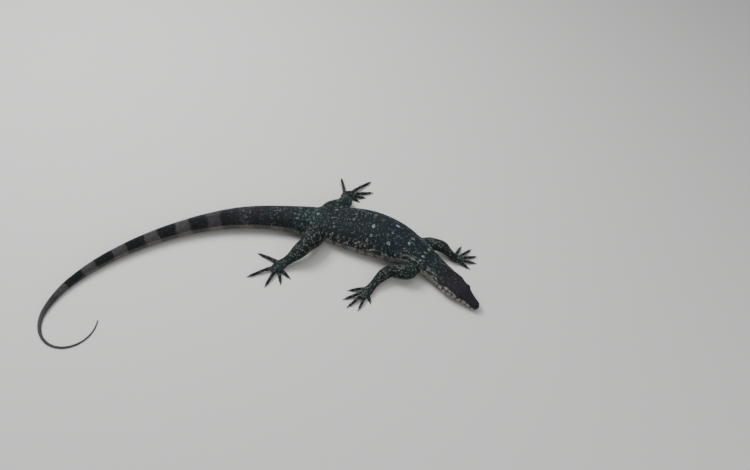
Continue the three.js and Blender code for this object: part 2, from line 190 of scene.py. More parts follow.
def trunk_surface(distance, angle, lift=0.0):
    """Points of the trunk's skin; angle is 0 on the left side and a quarter turn on the back."""
    distance, angle = np.broadcast_arrays(np.asarray(distance, float), np.asarray(angle, float))
    half, top, bottom = np.moveaxis(girth(distance), -1, 0)
    above, below = np.moveaxis(squareness(distance), -1, 0)
    rise, out = np.sin(angle), np.cos(angle)
    exponent = 2 / np.where(rise > 0, above, below)
    degrees = np.degrees(angle) % 360
    grow = lift - COAT_DEPTH * np.minimum(1, bottom / 4)
    keeled = ease(distance, 430, 620) * (1 - ease(distance, 620, 1080))
    keel = KEEL_HEIGHT * keeled * bell(np.abs(degrees - 90) - KEEL_ANGLE, KEEL_SPREAD)
    height = np.where(rise > 0, top + keel, bottom) + grow
    side = (half + grow) * np.sign(out) * np.abs(out) ** exponent
    height = height * np.sign(rise) * np.abs(rise) ** exponent
    blunt = np.where(distance < 7, np.sqrt(np.maximum(1 - (1 - distance / 7) ** 2, 0.0)), 1)
    reach = (1 + relief(distance, degrees) / np.maximum(np.hypot(side, height), 1)) * blunt
    centre, forward, left, up = trunk_axes(distance)
    return centre + left * (side * reach)[..., None] + up * (height * reach)[..., None]


def object_of(bm, name):
    """A new object from a finished bmesh, which is then freed."""
    mesh = bpy.data.meshes.new(name)
    bm.to_mesh(mesh)
    bm.free()
    return bpy.data.objects.new(name, mesh)


def closed_tube(name, points):
    """A closed mesh through rows of points; each row goes once round, and the end rows are single points."""
    rows, sides = points.shape[:2]
    bm = bmesh.new()
    bmesh.ops.create_grid(bm, x_segments=rows - 1, y_segments=sides, size=1)
    for vertex in bm.verts:
        row = round((vertex.co.x + 1) / 2 * (rows - 1))
        side = round((vertex.co.y + 1) / 2 * sides) % sides
        vertex.co = points[row, side]
    bmesh.ops.remove_doubles(bm, verts=bm.verts, dist=1e-7)
    bmesh.ops.recalc_face_normals(bm, faces=bm.faces)
    return object_of(bm, name)


def metres(points):
    """Millimetres along the drawn figure to metres in the frame."""
    return (points + CENTRING) * MM


def turn_from_back(angle):
    """A section angle measured from the back, within half a turn either way."""
    return (angle - math.pi / 2 + math.pi) % (2 * math.pi) - math.pi


TRUNK_SIDES = 96
head_rings = HEAD_END * (np.linspace(0, 1, 108) ** 1.2)
trunk_stations = np.concatenate([
    head_rings, np.arange(HEAD_END + 1.4, 430, 1.9), np.arange(430, 985, 3.0), np.arange(985, 1165, 2.2),
    [BODY_LENGTH],
])
even_turn = np.linspace(0, 2 * math.pi, TRUNK_SIDES, endpoint=False)
# Columns crowd towards the mouth line on the head and spread evenly behind it
crowding = 0.34 * (1 - ease(trunk_stations, 70, 110))
trunk_angles = even_turn[None, :] - crowding[:, None] * np.sin(2 * even_turn)[None, :]
trunk_points = trunk_surface(trunk_stations[:, None], trunk_angles)
for end in (0, -1):
    trunk_points[end] = middle(trunk_stations[end])
trunk = closed_tube("trunk", metres(trunk_points))

# What each point of skin is: metres along the trunk or limb, turn from the back, 1 on a limb, digit share
marks = {
    "points": [metres(trunk_points).reshape(-1, 3)],
    "along": [np.repeat(trunk_stations, TRUNK_SIDES) * MM],
    "around": [turn_from_back(trunk_angles).ravel()],
    "limb": [np.zeros(trunk_angles.size)],
    "digit": [np.zeros(trunk_angles.size)],
}


# Limb skin
# Each leg leaves the trunk under the shoulder or hip, bends at the elbow or knee, and ends in a broad foot
# with five spread digits. They are tubes of skin of their own until they are fused with the trunk.
FORE = {
    "radii": [(0, 12, 12), (0.14, 17, 16), (0.26, 17, 16), (0.42, 14.4, 13.6), (0.56, 12.2, 11.2),
              (0.79, 8.6, 7), (0.9, 10.6, 5.8), (1, 7, 4.2)],
    "digit": (3.4, 2.9, 2.4),
}
HIND = {
    "radii": [(0, 16, 14), (0.14, 23, 20), (0.26, 21.5, 19.5), (0.42, 18, 16.6), (0.56, 15.4, 14),
              (0.79, 10.2, 8), (0.9, 12.2, 6.2), (1, 8, 4.6)],
    "digit": (3.9, 3.2, 2.6),
}
ANKLE = 0.79
CLAW_LENGTH = 8
LIMBS = {
    "fore_right": {
        **FORE, "nodes": ("upper_arm_right", "forearm_right", "hand_right"),
        "line": [(284, 42, 24), (266, 7, 24), (226, 1, 20.5), (207, -16, 14), (193, -36, 8.5), (178, -58, 5)],
        "tips": [(198, -70), (174, -88), (151, -84), (141, -67), (147, -45)],
    },
    "fore_left": {
        **FORE, "nodes": ("upper_arm_left", "forearm_left", "hand_left"),
        "line": [(266, 50, 24), (299, 75, 27), (327, 77, 26), (347, 69, 17), (360, 63, 9.5), (378, 64, 5)],
        "tips": [(396, 45), (409, 62), (410, 80), (397, 97), (375, 102)],
    },
    "hind_right": {
        **HIND, "nodes": ("thigh_right", "shin_right", "foot_right"),
        "line": [(78, 96, 25), (62, 50, 30), (48, 26, 32), (29, 7, 21), (10, -7, 10.5), (-9, -22, 5.4)],
        "tips": [(32, -36), (14, -53), (-17, -63), (-57, -45), (-48, 15)],
    },
    "hind_left": {
        **HIND, "nodes": ("thigh_left", "shin_left", "foot_left"),
        "line": [(66, 96, 25), (88, 127, 30), (111, 147, 32), (115, 168, 22), (112, 187, 10.5),
                 (127, 204, 5.4)],
        "tips": [(146, 184), (158, 198), (172, 216), (164, 248), (94, 248)],
    },
}


def route(points, count=400):
    """Evenly spaced points of a smooth curve through a few, and its length."""
    points = np.array(points, float)
    padded = np.vstack([2 * points[0] - points[1], points, 2 * points[-1] - points[-2]])
    dense = []
    for k in range(len(points) - 1):
        before, start, end, after = padded[k:k + 4]
        gaps = [np.linalg.norm(b - a) ** 0.5 for a, b in ((before, start), (start, end), (end, after))]
        leave = (start - before) / gaps[0] - (end - before) / (gaps[0] + gaps[1]) + (end - start) / gaps[1]
        arrive = (end - start) / gaps[1] - (after - start) / (gaps[1] + gaps[2]) + (after - end) / gaps[2]
        leave, arrive = leave * gaps[1], arrive * gaps[1]
        t = np.linspace(0, 1, 80, endpoint=k == len(points) - 2)[:, None]
        dense.append(start + leave * t + (3 * (end - start) - 2 * leave - arrive) * t**2
                     + (2 * (start - end) + leave + arrive) * t**3)
    dense = np.vstack(dense)
    run = np.concatenate([[0], np.cumsum(np.linalg.norm(np.diff(dense, axis=0), axis=1))])
    even = np.linspace(0, run[-1], count)
    return np.stack([np.interp(even, run, dense[:, axis]) for axis in range(3)], axis=1), run[-1]


class Tube:
    """A limb or digit: a line with half widths and half heights, read at a share u of its length."""

    def __init__(self, line, radii):
        self.points, self.length = route(line)
        self.radii = radii

    def axes(self, u):
        u = np.asarray(u, float)
        at = np.linspace(0, 1, len(self.points))
        spot, low, high = (
            np.stack([np.interp(np.clip(v, 0, 1), at, self.points[:, axis]) for axis in range(3)], axis=-1)
            for v in (u, u - 0.01, u + 0.01)
        )
        ahead = unit(high - low)
        across = unit(np.cross(ahead, [0, 0, 1]))
        return spot, ahead, across, np.cross(across, ahead)

    def surface(self, u, angle, lift=0.0):
        u, angle = np.broadcast_arrays(np.asarray(u, float), np.asarray(angle, float))
        spot, ahead, across, above = self.axes(u)
        wide, high = self.radii(u)
        return (spot + across * ((wide + lift) * np.cos(angle))[..., None]
                + above * ((high + lift) * np.sin(angle))[..., None])


def limb_tube(limb):
    table = smooth_table(limb["radii"])

    def radii(u):
        wide, high = np.moveaxis(table(u), -1, 0)
        # Muscle swells the limb above and below its middle joint
        muscle = 0.7 * bell(u - 0.3, 0.09) + 0.8 * bell(u - 0.6, 0.08) - 0.5 * bell(u - 0.47, 0.05)
        return wide + muscle - COAT_DEPTH, high + muscle - COAT_DEPTH

    return Tube(limb["line"], radii)


def digit_tube(limb, base, order):
    """One digit from inside the palm or sole to its tip."""
    spread = (order - 2) / 2
    root, ahead, _, _ = base.axes(ANKLE + (1 - ANKLE) * (0.35 if order == 4 else 0.6))
    ahead = base.axes(1.0)[1]
    across = unit(np.cross([0, 0, 1], ahead))
    tip = np.array([*limb["tips"][order], 0.0])
    leaning = np.sign((tip - root) @ across) or 1.0
    root = root + across * leaning * abs(spread) * 5.5
    way = (tip - root) * [1, 1, 0]
    reach = np.linalg.norm(way) - CLAW_LENGTH
    way = way / np.linalg.norm(way)
    root_radius, mid_radius, end_radius = limb["digit"]
    line = [
        [*(root + way * reach * share)[:2], height]
        for share, height in ((0, 5), (0.3, 6.4), (0.62, 5.4), (0.86, 3.1), (1, end_radius + 0.1))
    ]

    def radii(u):
        even = np.interp(u, [0, 0.5, 1], [root_radius, mid_radius, end_radius])
        knuckles = 0.4 * bell(u - 0.36, 0.07) + 0.45 * bell(u - 0.64, 0.08) + 0.3 * bell(u - 0.88, 0.07)
        thick = even + knuckles - 0.2
        return thick, thick

    return Tube(line, radii), way


def tube_points(tube, shares, sides):
    """Rows round a tube with round ends, ready for closed_tube."""
    angles = np.linspace(0, 2 * math.pi, sides, endpoint=False)
    points = tube.surface(shares[:, None], angles[None, :])
    first, last = tube.axes(shares[0]), tube.axes(shares[-1])
    wide, high = tube.radii(shares[-1])
    domes = []
    for step in (0.45, 0.8, 0.97):
        shrink = math.sqrt(1 - step**2)
        centre = last[0] + last[1] * min(wide, high) * 0.8 * step
        domes.append(centre + (points[-1] - last[0]) * shrink)
    domes.append(np.tile(last[0] + last[1] * min(wide, high) * 0.8, (sides, 1)))
    return np.concatenate([np.tile(first[0], (1, sides, 1)), points, np.array(domes)]), angles


def keep_marks(points, along, angles, limb, digit):
    rows, sides = points.shape[:2]
    marks["points"].append(metres(points).reshape(-1, 3))
    marks["along"].append(np.repeat(along, sides) * MM)
    marks["around"].append(np.tile(turn_from_back(angles), rows))
    marks["limb"].append(np.full(rows * sides, limb))
    marks["digit"].append(np.repeat(digit, sides))


skin_parts = bpy.data.collections.new("skin parts")
limb_tubes, digit_tubes = {}, {}
for limb_name, limb in LIMBS.items():
    base = limb_tube(limb)
    limb_tubes[limb_name] = base
    shares = np.linspace(0, 1, round(base.length / 2.0))
    points, angles = tube_points(base, shares, 44)
    points[..., 2] = np.maximum(points[..., 2], 0.25)
    skin_parts.objects.link(closed_tube(limb_name, metres(points)))
    along = np.concatenate([[0], shares, [1] * 4]) * base.length
    keep_marks(points, along, angles, 1.0, np.zeros(len(along)))
    for order in range(5):
        digit, way = digit_tube(limb, base, order)
        digit_tubes[limb_name, order] = (digit, way)
        shares = np.linspace(0, 1, round(digit.length / 1.1))
        points, angles = tube_points(digit, shares, 16)
        points[..., 2] = np.maximum(points[..., 2], 0.3)
        skin_parts.objects.link(closed_tube(f"{limb_name}_{order}", metres(points)))
        share = np.concatenate([[0], shares, [1] * 4])
        keep_marks(points, base.length + share * digit.length, angles, 1.0, share)
marks = {name: np.concatenate(values) for name, values in marks.items()}


# Eyes, lids, nostrils and ears on the head
# The eyes are glossy dark balls set deep under the brows, each in a socket behind parted lids.
# The nostrils are oval slits near the snout tip and the ears are upright ovals behind the jaw.
EYE = {"along": 43.5, "side": 15, "up": 9.8, "radius": 4.4, "forward": 14, "upward": 12}
EYE_GAP = 0.25
LID_THICKNESS = 0.85
LID_OPENING = (3.3, 2.65)      # half length along the head and half height
EAR = {"along": 75.5, "side": 24.4, "up": 3.4, "sizes": (2.3, 3.7, 2.2), "forward": -8, "upward": 0}
NOSTRIL = {"along": 8.6, "side": 8.3, "up": 5.4, "sizes": (2.0, 1.2, 1.6), "forward": 20, "upward": 35}


def head_place(spot, hand):
    """Axes at a place on the head: first along it, second up it, third pointing out of it."""
    centre, forward, left, up = trunk_axes(spot["along"])
    turn, lift = math.radians(spot["forward"]), math.radians(spot["upward"])
    out = unit(left * hand * math.cos(turn) * math.cos(lift) + forward * math.sin(turn) + up * math.sin(lift))
    first = unit(forward - out * (forward @ out))
    second = np.cross(out, first)
    place = centre + left * hand * spot["side"] + up * spot["up"]
    return Matrix((
        (first[0], second[0], out[0], metres(place)[0]),
        (first[1], second[1], out[1], metres(place)[1]),
        (first[2], second[2], out[2], metres(place)[2]),
        (0, 0, 0, 1),
    ))


def seen_from(spot, hand, points):
    """Points of the frame along the axes of a place on the head, in millimetres."""
    turned_back = np.array(head_place(spot, hand).inverted())
    return (points @ turned_back[:3, :3].T + turned_back[:3, 3]) / MM


def head_ball(name, place, sizes, segments=20):
    bm = bmesh.new()
    bmesh.ops.create_uvsphere(bm, u_segments=segments, v_segments=segments * 2 // 3, radius=1)
    bmesh.ops.scale(bm, vec=Vector(sizes) * MM, verts=bm.verts)
    bmesh.ops.transform(bm, matrix=place, verts=bm.verts)
    return object_of(bm, name)


def lid_opening(name, place):
    """The oval that parts the lids: a disc extruded out of the head along the way that the eye looks."""
    bm = bmesh.new()
    bmesh.ops.create_circle(bm, cap_ends=True, segments=40, radius=MM)
    bmesh.ops.scale(bm, vec=(*LID_OPENING, 1), verts=bm.verts)
    drawn = bmesh.ops.extrude_face_region(bm, geom=bm.faces[:])
    grown = [item for item in drawn["geom"] if isinstance(item, bmesh.types.BMVert)]
    bmesh.ops.translate(bm, vec=(0, 0, 12 * MM), verts=grown)
    bmesh.ops.transform(bm, matrix=place, verts=bm.verts)
    bmesh.ops.recalc_face_normals(bm, faces=bm.faces)
    return object_of(bm, name)


hollows = bpy.data.collections.new("hollows")
socket = EYE["radius"] + EYE_GAP
lid_reach = socket + LID_THICKNESS
for side_name, hand in (("left", 1), ("right", -1)):
    skin_parts.objects.link(head_ball(f"lid_{side_name}", head_place(EYE, hand), [lid_reach] * 3, 56))
    hollows.objects.link(head_ball(f"socket_{side_name}", head_place(EYE, hand), [socket] * 3, 32))
    hollows.objects.link(lid_opening(f"opening_{side_name}", head_place(EYE, hand)))
    for name, spot in (("ear", EAR), ("nostril", NOSTRIL)):
        hollows.objects.link(head_ball(f"{name}_hollow_{side_name}", head_place(spot, hand), spot["sizes"]))


# One skin
# The trunk, limbs, digits and lids are fused, the sockets are cut, and the roots of the limbs and digits
# are worn smooth so that no seam is left. It stands for every node of flesh.
RESTING = 0.3
skin = trunk
skin.name = "skin"
bpy.context.scene.collection.objects.link(skin)
for operation, others in (("UNION", skin_parts), ("DIFFERENCE", hollows)):
    bpy.context.scene.collection.children.link(others)
    cut = skin.modifiers.new(operation, "BOOLEAN")
    cut.operation = operation
    cut.operand_type = "COLLECTION"
    cut.collection = others
    cut.solver = "MANIFOLD"
bpy.context.view_layer.update()
fused = bpy.data.meshes.new_from_object(skin.evaluated_get(bpy.context.evaluated_depsgraph_get()))
skin.modifiers.clear()
skin.data = fused
for others in (skin_parts, hollows):
    for other in list(others.objects):
        bpy.data.objects.remove(other)
    bpy.data.collections.remove(others)

bm = bmesh.new()
bm.from_mesh(skin.data)
bmesh.ops.remove_doubles(bm, verts=bm.verts, dist=1e-6)
bmesh.ops.triangulate(bm, faces=[face for face in bm.faces if len(face.verts) > 4])
bm.verts.ensure_lookup_table()


def tree_of(points):
    """A tree that finds the nearest of some points."""
    tree = KDTree(len(points))
    for number, point in enumerate(points):
        tree.insert(point, number)
    tree.balance()
    return tree


# New points lie only where two tubes meet: there the skin is worn smooth, widest at the shoulders and hips
source_tree = tree_of(marks["points"])
found = [source_tree.find(vertex.co) for vertex in bm.verts]
source_of = np.array([number for _, number, _ in found])
is_seam = np.array([distance for _, _, distance in found]) > 4e-6
seam_kind = {"limb root": (15 * MM, 90), "digit root": (3.2 * MM, 24), "lid root": (2.0 * MM, 14),
             "opening": (0.9 * MM, 4)}
along_of, limb_of, digit_of = (marks[name][source_of] for name in ("along", "limb", "digit"))
ankle_of = min(tube.length for tube in limb_tubes.values()) * 0.7 * MM
places = np.array([vertex.co for vertex in bm.verts])
about_lid = np.zeros(len(places), bool)
for hand in (1, -1):
    local = seen_from(EYE, hand, places)
    about_lid |= (np.linalg.norm(local, axis=1) < lid_reach + 0.5) & (
        np.hypot(local[:, 0], local[:, 1]) > LID_OPENING[0] + 0.4)
for kind, (reach, rounds) in seam_kind.items():
    at_foot = (limb_of > 0.5) & (along_of > ankle_of)
    on_head = (limb_of < 0.5) & (along_of < 0.12)
    chosen = is_seam & {"limb root": ~at_foot & ~on_head, "digit root": at_foot,
                        "lid root": on_head & about_lid, "opening": on_head & ~about_lid}[kind]
    near_seam = tree_of(places[chosen])
    away = [near_seam.find(vertex.co)[2] for vertex in bm.verts]
    ranked = sorted((distance, number) for number, distance in enumerate(away) if distance < reach)
    for step in range(rounds):
        limit = reach * (1 - step / rounds)
        worn = [bm.verts[number] for distance, number in ranked if distance < limit]
        bmesh.ops.smooth_vert(bm, verts=worn, factor=0.5, use_axis_x=True, use_axis_y=True, use_axis_z=True)
for vertex in bm.verts:
    vertex.co.z = max(vertex.co.z, RESTING * MM)
bm.to_mesh(skin.data)
bm.free()


def write_mark(mesh, name, values):
    mesh.attributes.new(name, "FLOAT", "POINT").data.foreach_set("value", np.asarray(values, np.float32))


for name in ("along", "around", "limb", "digit"):
    write_mark(skin.data, name, marks[name][source_of])
write_mark(skin.data, "down", np.abs(marks["around"][source_of]) / math.pi)
skin.data.shade_smooth()

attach(skin, "root")
flesh = ["head", "neck", "torso", "tail_base", "tail_middle", "tail_rear", "tail_slender_front",
         "tail_slender_rear", "tail_whip_front", "tail_whip_middle", "tail_whip_tip"]
for limb in LIMBS.values():
    flesh.extend(limb["nodes"])
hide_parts(*flesh)


# Skin finish
# Dry, slightly waxy hide. Its colours follow the lizard: a blackish back with rows of pale ringed spots,
# a pale belly and throat, finely speckled legs, and dark and grey bands round the tail.
class Value:
    """A number that a finish works out at each point; sums with it add Math nodes."""

    def __init__(self, finish, socket):
        self.finish, self.socket = finish, socket

    def __add__(self, other):
        return self.finish.math("ADD", self, other)

    def __sub__(self, other):
        return self.finish.math("SUBTRACT", self, other)

    def __rsub__(self, other):
        return self.finish.math("SUBTRACT", other, self)

    def __mul__(self, other):
        return self.finish.math("MULTIPLY", self, other)

    def __truediv__(self, other):
        return self.finish.math("DIVIDE", self, other)

    def __pow__(self, other):
        return self.finish.math("POWER", self, other)

    __radd__ = __add__
    __rmul__ = __mul__

    def beside(self, output):
        """Another output of the node that this number comes from."""
        return Value(self.finish, self.socket.node.outputs[output])


class Finish:
    """A material in the making: its node tree and the ways to add to it."""

    def __init__(self, name):
        self.material = bpy.data.materials.new(name)
        self.material.use_nodes = True
        self.tree = self.material.node_tree
        self.tree.nodes.clear()
        self.place = self.node("TexCoord", output="Object")

    def node(self, kind, settings=None, sockets=None, output=0):
        """A node of that type, with its settings and then its sockets; returns one of its outputs."""
        made = self.tree.nodes.new("ShaderNode" + kind)
        for name, setting in (settings or {}).items():
            setattr(made, name, setting)
        for name, value in (sockets or {}).items():
            if isinstance(value, Value):
                self.tree.links.new(value.socket, made.inputs[name])
            else:
                made.inputs[name].default_value = value
        return Value(self, made.outputs[output]) if made.outputs else None

    def math(self, operation, *terms):
        return self.node("Math", {"operation": operation}, dict(enumerate(terms)))

    def read(self, attribute):
        return self.node("Attribute", {"attribute_name": attribute}, output="Fac")

    def rise(self, value, low, high):
        """0 below low, 1 above high, smooth between; low may be the larger for a fall."""
        return self.node("MapRange", {"interpolation_type": "SMOOTHSTEP"},
                         {"Value": value, "From Min": low, "From Max": high})

    def blend(self, base, over, share):
        """The colour over laid on the colour base by a share."""
        return self.node("Mix", {"data_type": "RGBA"}, {0: share, 6: base, 7: over}, output=2)

    def speckle(self, size, detail=2.0):
        """Cloudy noise from 0 to 1 with patches of about that size."""
        return self.node("TexNoise", None, {"Vector": self.place, "Scale": 1 / size, "Detail": detail})

    def dots(self, size, often, reach=0.40):
        """Scattered round dots, a share of them pale: 0 between them, up to 1 on the palest."""
        away = self.node("TexVoronoi", {"feature": "F1"}, {
            "Vector": self.place, "Scale": 1 / size, "Randomness": 0.9}, output="Distance")
        chance = self.node("SeparateColor", None, {"Color": away.beside("Color")}, output="Red")
        return self.rise(away, reach + 0.08, reach - 0.08) * self.rise(chance, 1 - often, 1.15 - often * 0.6)

    def finished(self, sockets):
        """Closes the finish with one principled surface and returns the material."""
        surface = self.node("BsdfPrincipled", None, sockets)
        self.node("OutputMaterial", None, {"Surface": surface})
        return self.material

    def point(self, x, y=0.0, z=0.0):
        return self.node("CombineXYZ", None, {"X": x, "Y": y, "Z": z})


SPOT_ROWS = 0.0405           # metres between the rows of spots across the back
FIRST_ROW = 0.2095 - 5 * SPOT_ROWS
SPOTS_ROUND = 2.9            # spots for each radian round the body
TAIL_BANDS = 0.0654          # metres from one dark band of the tail to the next
FIRST_BAND = 0.571

BLACK = (0.0050, 0.0075, 0.0100, 1)
# Painted sheen: the navy and teal tints are laid over the blackish skin as colour, standing in for bluish
# light on it
NAVY_SHEEN = (0.0040, 0.0130, 0.0270, 1)
TEAL_SHEEN = (0.0050, 0.0220, 0.0210, 1)
PLUM = (0.0130, 0.0110, 0.0175, 1)
FLECK = (0.130, 0.165, 0.175, 1)
ASH = (0.27, 0.31, 0.31, 1)
CREAM = (0.34, 0.32, 0.26, 1)
BELLY = (0.215, 0.200, 0.165, 1)
MOSS = (0.125, 0.155, 0.130, 1)
GREY_BAND = (0.088, 0.082, 0.086, 1)
LIP = (0.30, 0.285, 0.275, 1)
CROWN = (0.0105, 0.0098, 0.0130, 1)


def spots(hide, along, around, size):
    """Rows of pale spots across the back, some of them rings and some faint; returns the pale share."""
    row = (along - FIRST_ROW) / SPOT_ROWS
    row_number = hide.math("FLOOR", row)
    turn = around * SPOTS_ROUND + hide.math("MODULO", row_number, 2.0) * 0.5 + 40
    place_number = hide.math("FLOOR", turn)
    cell = hide.point(row_number, place_number)
    chance = hide.node("TexWhiteNoise", None, {"Vector": cell}, output="Color")
    picked = hide.node("SeparateColor", None, {"Color": chance}, output="Red")
    jitter, drift = picked.beside("Green"), picked.beside("Blue")
    lengthways = (row - row_number - 0.5 + (jitter - 0.5) * 0.30) * SPOT_ROWS
    sideways = (turn - place_number - 0.5 + (drift - 0.5) * 0.42) * (0.042 / SPOTS_ROUND)
    away = hide.math("SQRT", lengthways * lengthways + sideways * sideways)
    ragged = away + (hide.speckle(0.0035) - 0.5) * 0.0042
    reach = (drift * 0.55 + 0.65) * size
    disc = hide.rise(ragged, reach, reach - 0.0008)
    core = hide.rise(ragged, reach * 0.5, reach * 0.5 - 0.0006)
    ring = hide.rise(picked, 0.35, 0.4)
    return disc * (1 - core * ring) * hide.rise(jitter, 0.05, 0.75)


def hide_colour(hide):
    """The lizard's colour from where each point is along it and round it."""
    along, around, down = hide.read("along"), hide.read("around"), hide.read("down")
    limb, digit = hide.read("limb"), hide.read("digit")
    cloud = hide.speckle(0.045, 3.0)
    grain = hide.speckle(0.0035, 3.0)
    flecks = hide.math("MAXIMUM", hide.dots(0.0046, 0.50), hide.dots(0.0026, 0.34) * 0.8)

    # Back: blackish and finely flecked, with painted sheen: blue tints about the shoulders and green over the
    # hips
    base = hide.blend(BLACK, NAVY_SHEEN, hide.rise(cloud, 0.42, 0.60) * hide.rise(along, 0.36, 0.16))
    hips = hide.rise(along, 0.37, 0.40) * hide.rise(along, 0.455, 0.43)
    base = hide.blend(base, TEAL_SHEEN, hide.rise(cloud, 0.60, 0.40) * 0.5 + hips * 0.4)
    back = hide.blend(base, FLECK, flecks * (0.55 + 0.35 * hips + 0.25 * hide.rise(cloud, 0.45, 0.7)))
    back = hide.blend(back, ASH, spots(hide, along, around, 0.0034) * hide.rise(down, 0.50, 0.36) * 0.85)

    # Flanks: pale spots that crowd together downwards, and a cream edge along the belly
    blots = hide.dots(0.0062, 1.0, 0.38)
    flank = hide.rise(down + (cloud - 0.5) * 0.10, 0.27, 0.37) * hide.rise(along, 0.16, 0.20)
    back = hide.blend(back, CREAM, blots * flank * hide.rise(along, 0.43, 0.39) * 0.75)
    under = hide.rise(down + (grain - 0.5) * 0.09 + (cloud - 0.5) * 0.06, 0.445, 0.485)
    ragged = (cloud - 0.5) * 14 + (grain - 0.5) * 5
    bars = hide.rise(hide.math("SINE", along * (2 * math.pi / 0.026) + ragged), 0.35, 0.85)
    belly = hide.blend(BELLY, base, bars * hide.rise(down, 0.86, 0.56) * 0.65)
    body = hide.blend(back, belly, under)

    # Tail: dark bands on grey, faint near the hips and clear towards the whip, over a pale lower edge
    band = (along - FIRST_BAND) / TAIL_BANDS + (hide.speckle(0.010) - 0.5) * 0.22
    wave = hide.math("COSINE", band * (2 * math.pi))
    dark = hide.rise(wave, -0.45, 0.05)
    near_hips = hide.blend(PLUM, BLACK, hide.rise(cloud, 0.40, 0.62))
    near_hips = hide.blend(near_hips, FLECK, flecks * (1 - 0.6 * dark) * 0.65)
    grey, black = hide.blend(GREY_BAND, PLUM, flecks * 0.4), hide.blend(BLACK, FLECK, flecks * 0.10)
    banded = hide.blend(grey, black, dark)
    tail = hide.blend(near_hips, banded, hide.rise(along, 0.50, 0.70))
    tail = hide.blend(tail, GREY_BAND, hide.rise(along, 0.925, 0.97) * 0.8)
    low_edge = hide.rise(down + (grain - 0.5) * 0.08, 0.39, 0.44) * hide.rise(along, 0.95, 0.80)
    edge_colour = hide.blend(BELLY, base, dark * 0.35 + hide.rise(grain, 0.52, 0.62) * 0.3)
    tail = hide.blend(tail, edge_colour, low_edge * 0.75)
    trunk_colour = hide.blend(body, tail, hide.rise(along, 0.42, 0.455))

    # Head: dark plum grey above, pale barred lips, cheeks and throat, and a dark streak behind the eye
    crown = hide.blend(CROWN, PLUM, hide.rise(grain + (cloud - 0.5), 0.4, 0.6))
    crown = hide.blend(crown, FLECK, hide.dots(0.0034, 0.45) * hide.rise(along, 0.03, 0.075) * 0.35)
    lip_bars = hide.rise(hide.math("SINE", along * (2 * math.pi / 0.0105) + ragged * 0.25), 0.35, 0.7)
    lips = hide.blend(LIP, CROWN, lip_bars * hide.rise(down, 0.60, 0.50) * 0.7)
    cheek_line = 0.31 + 0.07 * hide.rise(along, 0.030, 0.008) - 0.045 * hide.rise(along, 0.048, 0.056)
    cheek_line = cheek_line + 0.09 * hide.rise(along, 0.070, 0.084)
    low_head = hide.rise(down + (grain - 0.5) * 0.07, cheek_line, cheek_line + 0.05)
    streak = hide.rise(hide.math("ABSOLUTE", down - 0.385), 0.035, 0.015) * hide.rise(along, 0.048, 0.054)
    lips = hide.blend(lips, CROWN, streak * 0.85)
    trunk_colour = hide.blend(hide.blend(crown, lips, low_head), trunk_colour,
                              hide.rise(along + (cloud - 0.5) * 0.03, 0.082, 0.115))

    # Neck: the pale throat runs back under the jaw, with broken pale streaks above it
    on_neck = hide.rise(along, 0.08, 0.1) * hide.rise(along, 0.21, 0.175)
    broken = hide.node("TexNoise", None, {
        "Vector": hide.point(along * 60, around * 3.2), "Scale": 1.6, "Detail": 2.0})
    patches = hide.rise(broken, 0.50, 0.60) * hide.rise(down, 0.14, 0.34)
    trunk_colour = hide.blend(trunk_colour, CREAM, patches * on_neck * 0.62)
    throat = hide.rise(down + (grain - 0.5) * 0.12 + (cloud - 0.5) * 0.08, 0.38, 0.44)
    trunk_colour = hide.blend(trunk_colour, BELLY, throat * on_neck * 0.85)

    # Legs: black with a green painted sheen, closely speckled, paler beneath; toes dark with pale bands
    leg = hide.blend(BLACK, TEAL_SHEEN, hide.rise(cloud, 0.42, 0.60))
    leg = hide.blend(leg, MOSS, hide.dots(0.0045, 0.9) * 0.85)
    leg = hide.blend(leg, BELLY, hide.rise(down + (grain - 0.5) * 0.16, 0.46, 0.62) * 0.75)
    toe = hide.rise(digit, 0.06, 0.16)
    toe_bands = hide.rise(hide.math("COSINE", (digit + (cloud - 0.5) * 0.5) * (2 * math.pi * 3.2)), 0.35, 0.8)
    leg = hide.blend(leg, hide.blend(BLACK, MOSS, toe_bands * 0.42), toe)
    return hide.blend(trunk_colour, leg, hide.rise(limb, 0.35, 0.65))


def hide_finish(name, scaled):
    """Hide with the lizard's colours; each scale has one colour and its own tone, darkened by painted shade
    towards its sunk rim.
    """
    hide = Finish(name)
    pores = hide.speckle(0.0005, 2.0)
    grain = hide.speckle(0.0012, 2.0)
    if scaled:
        hide.place = hide.node("Attribute", {"attribute_name": "root"}, output="Vector")
        tone = hide.read("tone")
        # Painted shade: each scale darkens from its crown down to its sunk rim, as if shaded in the gaps
        # between scales; tone varies at random
        shade = (0.68 + 0.64 * tone) * (0.35 + 0.65 * hide.read("rise"))
        roughness = 0.50 + 0.16 * tone + 0.12 * (grain - 0.5)
    else:
        shade = 0.38 + 0.3 * grain
        roughness = 0.66 + 0.15 * (grain - 0.5)
    colour = hide.node("HueSaturation", None, {"Color": hide_colour(hide), "Value": shade})
    bump = hide.node("Bump", None, {"Height": pores, "Strength": 0.25, "Distance": 0.0002})
    return hide.finished({
        "Base Color": colour, "Roughness": roughness, "Normal": bump, "Specular IOR Level": 0.24})


skin.data.materials.clear()
skin.data.materials.append(hide_finish("hide_between_scales", scaled=False))


# Scales
# Each is its own low horny plate, set close in rows that cross the body, tail and legs and mixed in size
# on the head. They lie towards the tail, and no two share an edge: dark hide shows between them.
random = np.random.default_rng(7)
skin_mesh = skin.data
skin_mesh.calc_loop_triangles()


def rows_of(items, field, kind=np.float64):
    """A field of a mesh's points or faces, three numbers to a row."""
    values = np.empty(len(items) * 3, kind)
    items.foreach_get(field, values)
    return values.reshape(-1, 3)


skin_spots = rows_of(skin_mesh.vertices, "co")
skin_normals = rows_of(skin_mesh.vertices, "normal")
skin_faces = rows_of(skin_mesh.loop_triangles, "vertices", np.int32)
skin_limb = marks["limb"][source_of]
skin_tree = BVHTree.FromPolygons(skin_spots.tolist(), skin_faces.tolist())


